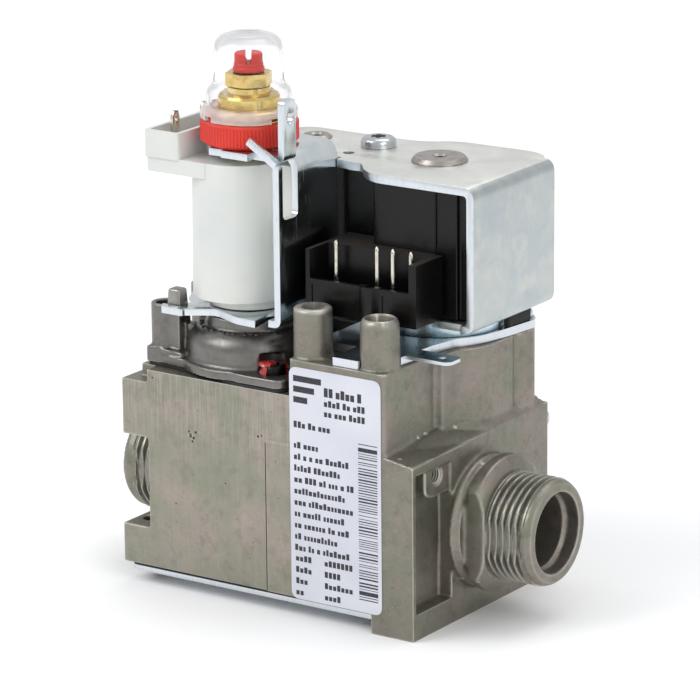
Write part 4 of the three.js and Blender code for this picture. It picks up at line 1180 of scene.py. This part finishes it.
def make_cores():
    hole, z = 1.5, YOKE_TOP + 0.05
    for name, (x, y), r, stem, high in (("ev1", EV1, 6.8, 5.3, 1.15), ("ev2", EV2, 3.9, 2.8, 0.7)):
        profile = [(0, 93), (stem, 93), (stem, z), (r, z), (r, z + high * 0.25), (r - 0.75, z + high),
                   (hole + 0.5, z + high),
                   (hole, z + high - 0.5), (hole, z - 6), (0, z - 6)]
        made(f"{name}_disc", turned(profile, x, y, 96), NICKEL, "nickel", nodes=[f"{name}_core"], smooth=28)


make_yoke()
make_coils()
make_solenoid_base()
make_cores()


def make_test_screws():
    for name, (x, _), r, top in (("inlet", NIPPLES[0], 2.1, 71), ("outlet", NIPPLES[1], 2.8, 71.8)):
        shape = join(post(x, NIPPLE_Y, top - 3, top, r, r - 0.25), post(x, NIPPLE_Y, 63, top - 2.9, r - 0.7))
        shape = cut(shape, slab(x - r, x + r, NIPPLE_Y - 0.35, NIPPLE_Y + 0.35, top - 0.9, top + 1))
        made(f"{name}_nipple_screw", bevelled(shape, 0.12), BRASS, "brass", f"{name}_test_screw",
             [f"test_screw_{name}"])


make_test_screws()


def coil_spring(name, centre, fixed_z, moving_z, radius, wire, turns):
    """A compression spring coiled between a fixed height in the housing and the height of a sprung body."""
    x, y = centre
    low, high = sorted((fixed_z, moving_z))
    count, sides = int(turns * 28), 10
    verts, faces = [], []
    for k in range(count + 1):
        part = k / count
        turn = 2 * math.pi * turns * part
        height = low + wire + (high - low - 2 * wire) * part
        for i in range(sides):
            around = 2 * math.pi * i / sides
            reach = radius + wire * math.cos(around)
            verts.append((x + reach * math.cos(turn), y + reach * math.sin(turn),
                          height + wire * math.sin(around)))
    for k in range(count):
        for i in range(sides):
            a, b = k * sides + i, k * sides + (i + 1) % sides
            faces.append((a, b, b + sides, a + sides))
    faces += [tuple(range(sides))[::-1], tuple(range(count * sides, (count + 1) * sides))]
    shape = outward(solid(verts, faces))
    shape.name = shape.data.name = name + "_coil"
    shape.data.transform(TO_ROW)
    shape.data.materials.append(INNER_STEEL)
    shape.data.shade_smooth()
    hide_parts(name)
    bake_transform(shape)


coil_spring("ev1_spring", EV1, 92.8, 83.3, 1.9, 0.3, 8)
coil_spring("ev2_spring", EV2, 92.8, 83.3, 1.2, 0.25, 8)
coil_spring("regulator_spring", MOD, 65.3, 58.2, 6.0, 0.5, 4)
coil_spring("main_valve_spring", (-4, 0), 4.7, 6.25, 5.4, 0.22, 1.2)


def dress_inner_nodes():
    """CAD nodes that stay as they are take a look for their material."""
    looks = {"steel": INNER_STEEL, "zinc": ZINC, "rubber": RUBBER, "nickel": NICKEL, "brass": BRASS,
             "cast": CAST, "dark_cast": DARK_CAST, "black_plastic": BLACK, "white_plastic": WHITE,
             "red_plastic": RED, "clear_plastic": CLEAR}
    slots = {s["node"]: s["material_slot"] for s in frame["record"]["subparts"]}
    for name, node in frame["nodes"].items():
        if not node.hide_render and slots.get(name) in looks:
            node.data.materials.clear()
            node.data.materials.append(looks[slots[name]])


dress_inner_nodes()

# ------------------------------------------------------------------ light and floor


def light(name, place, aim, size, power, color=(1, 1, 1)):
    data = bpy.data.lights.new(name, "AREA")
    data.shape = "RECTANGLE"
    data.size, data.size_y = size
    data.energy = power
    data.color = color
    lamp = bpy.data.objects.new(name, data)
    lamp.location = place
    lamp.rotation_euler = (Vector(aim) - Vector(place)).to_track_quat("-Z", "Y").to_euler()
    scene.collection.objects.link(lamp)


def make_studio():
    world = bpy.data.worlds.new("studio")
    world.use_nodes = True
    shade = world.node_tree.nodes["Background"]
    shade.inputs["Color"].default_value = (0.97, 0.98, 1.0, 1)
    shade.inputs["Strength"].default_value = 0.75
    scene.world = world
    light("key", (-0.7, -0.9, 1.1), (0, 0, 0.06), (0.9, 0.9), 9)
    light("fill", (1.2, -0.5, 0.7), (0, 0, 0.06), (0.8, 1.0), 4)
    light("top", (0.1, 0.5, 1.4), (0, 0, 0.06), (1.2, 0.8), 6)
    floor = solid([(-3, -3, 0), (3, -3, 0), (3, 5, 0), (-3, 5, 0)], [(0, 1, 2, 3)])
    floor.name = "floor"
    paper = Look("floor_paper", "FBFBFB", 0.9)
    paper.bump(paper.noise(1.5, 2), 0.02, 0.2)
    floor.data.materials.append(paper.done())
    scene.view_settings.view_transform = "Standard"
    scene.view_settings.look = "None"


make_studio()
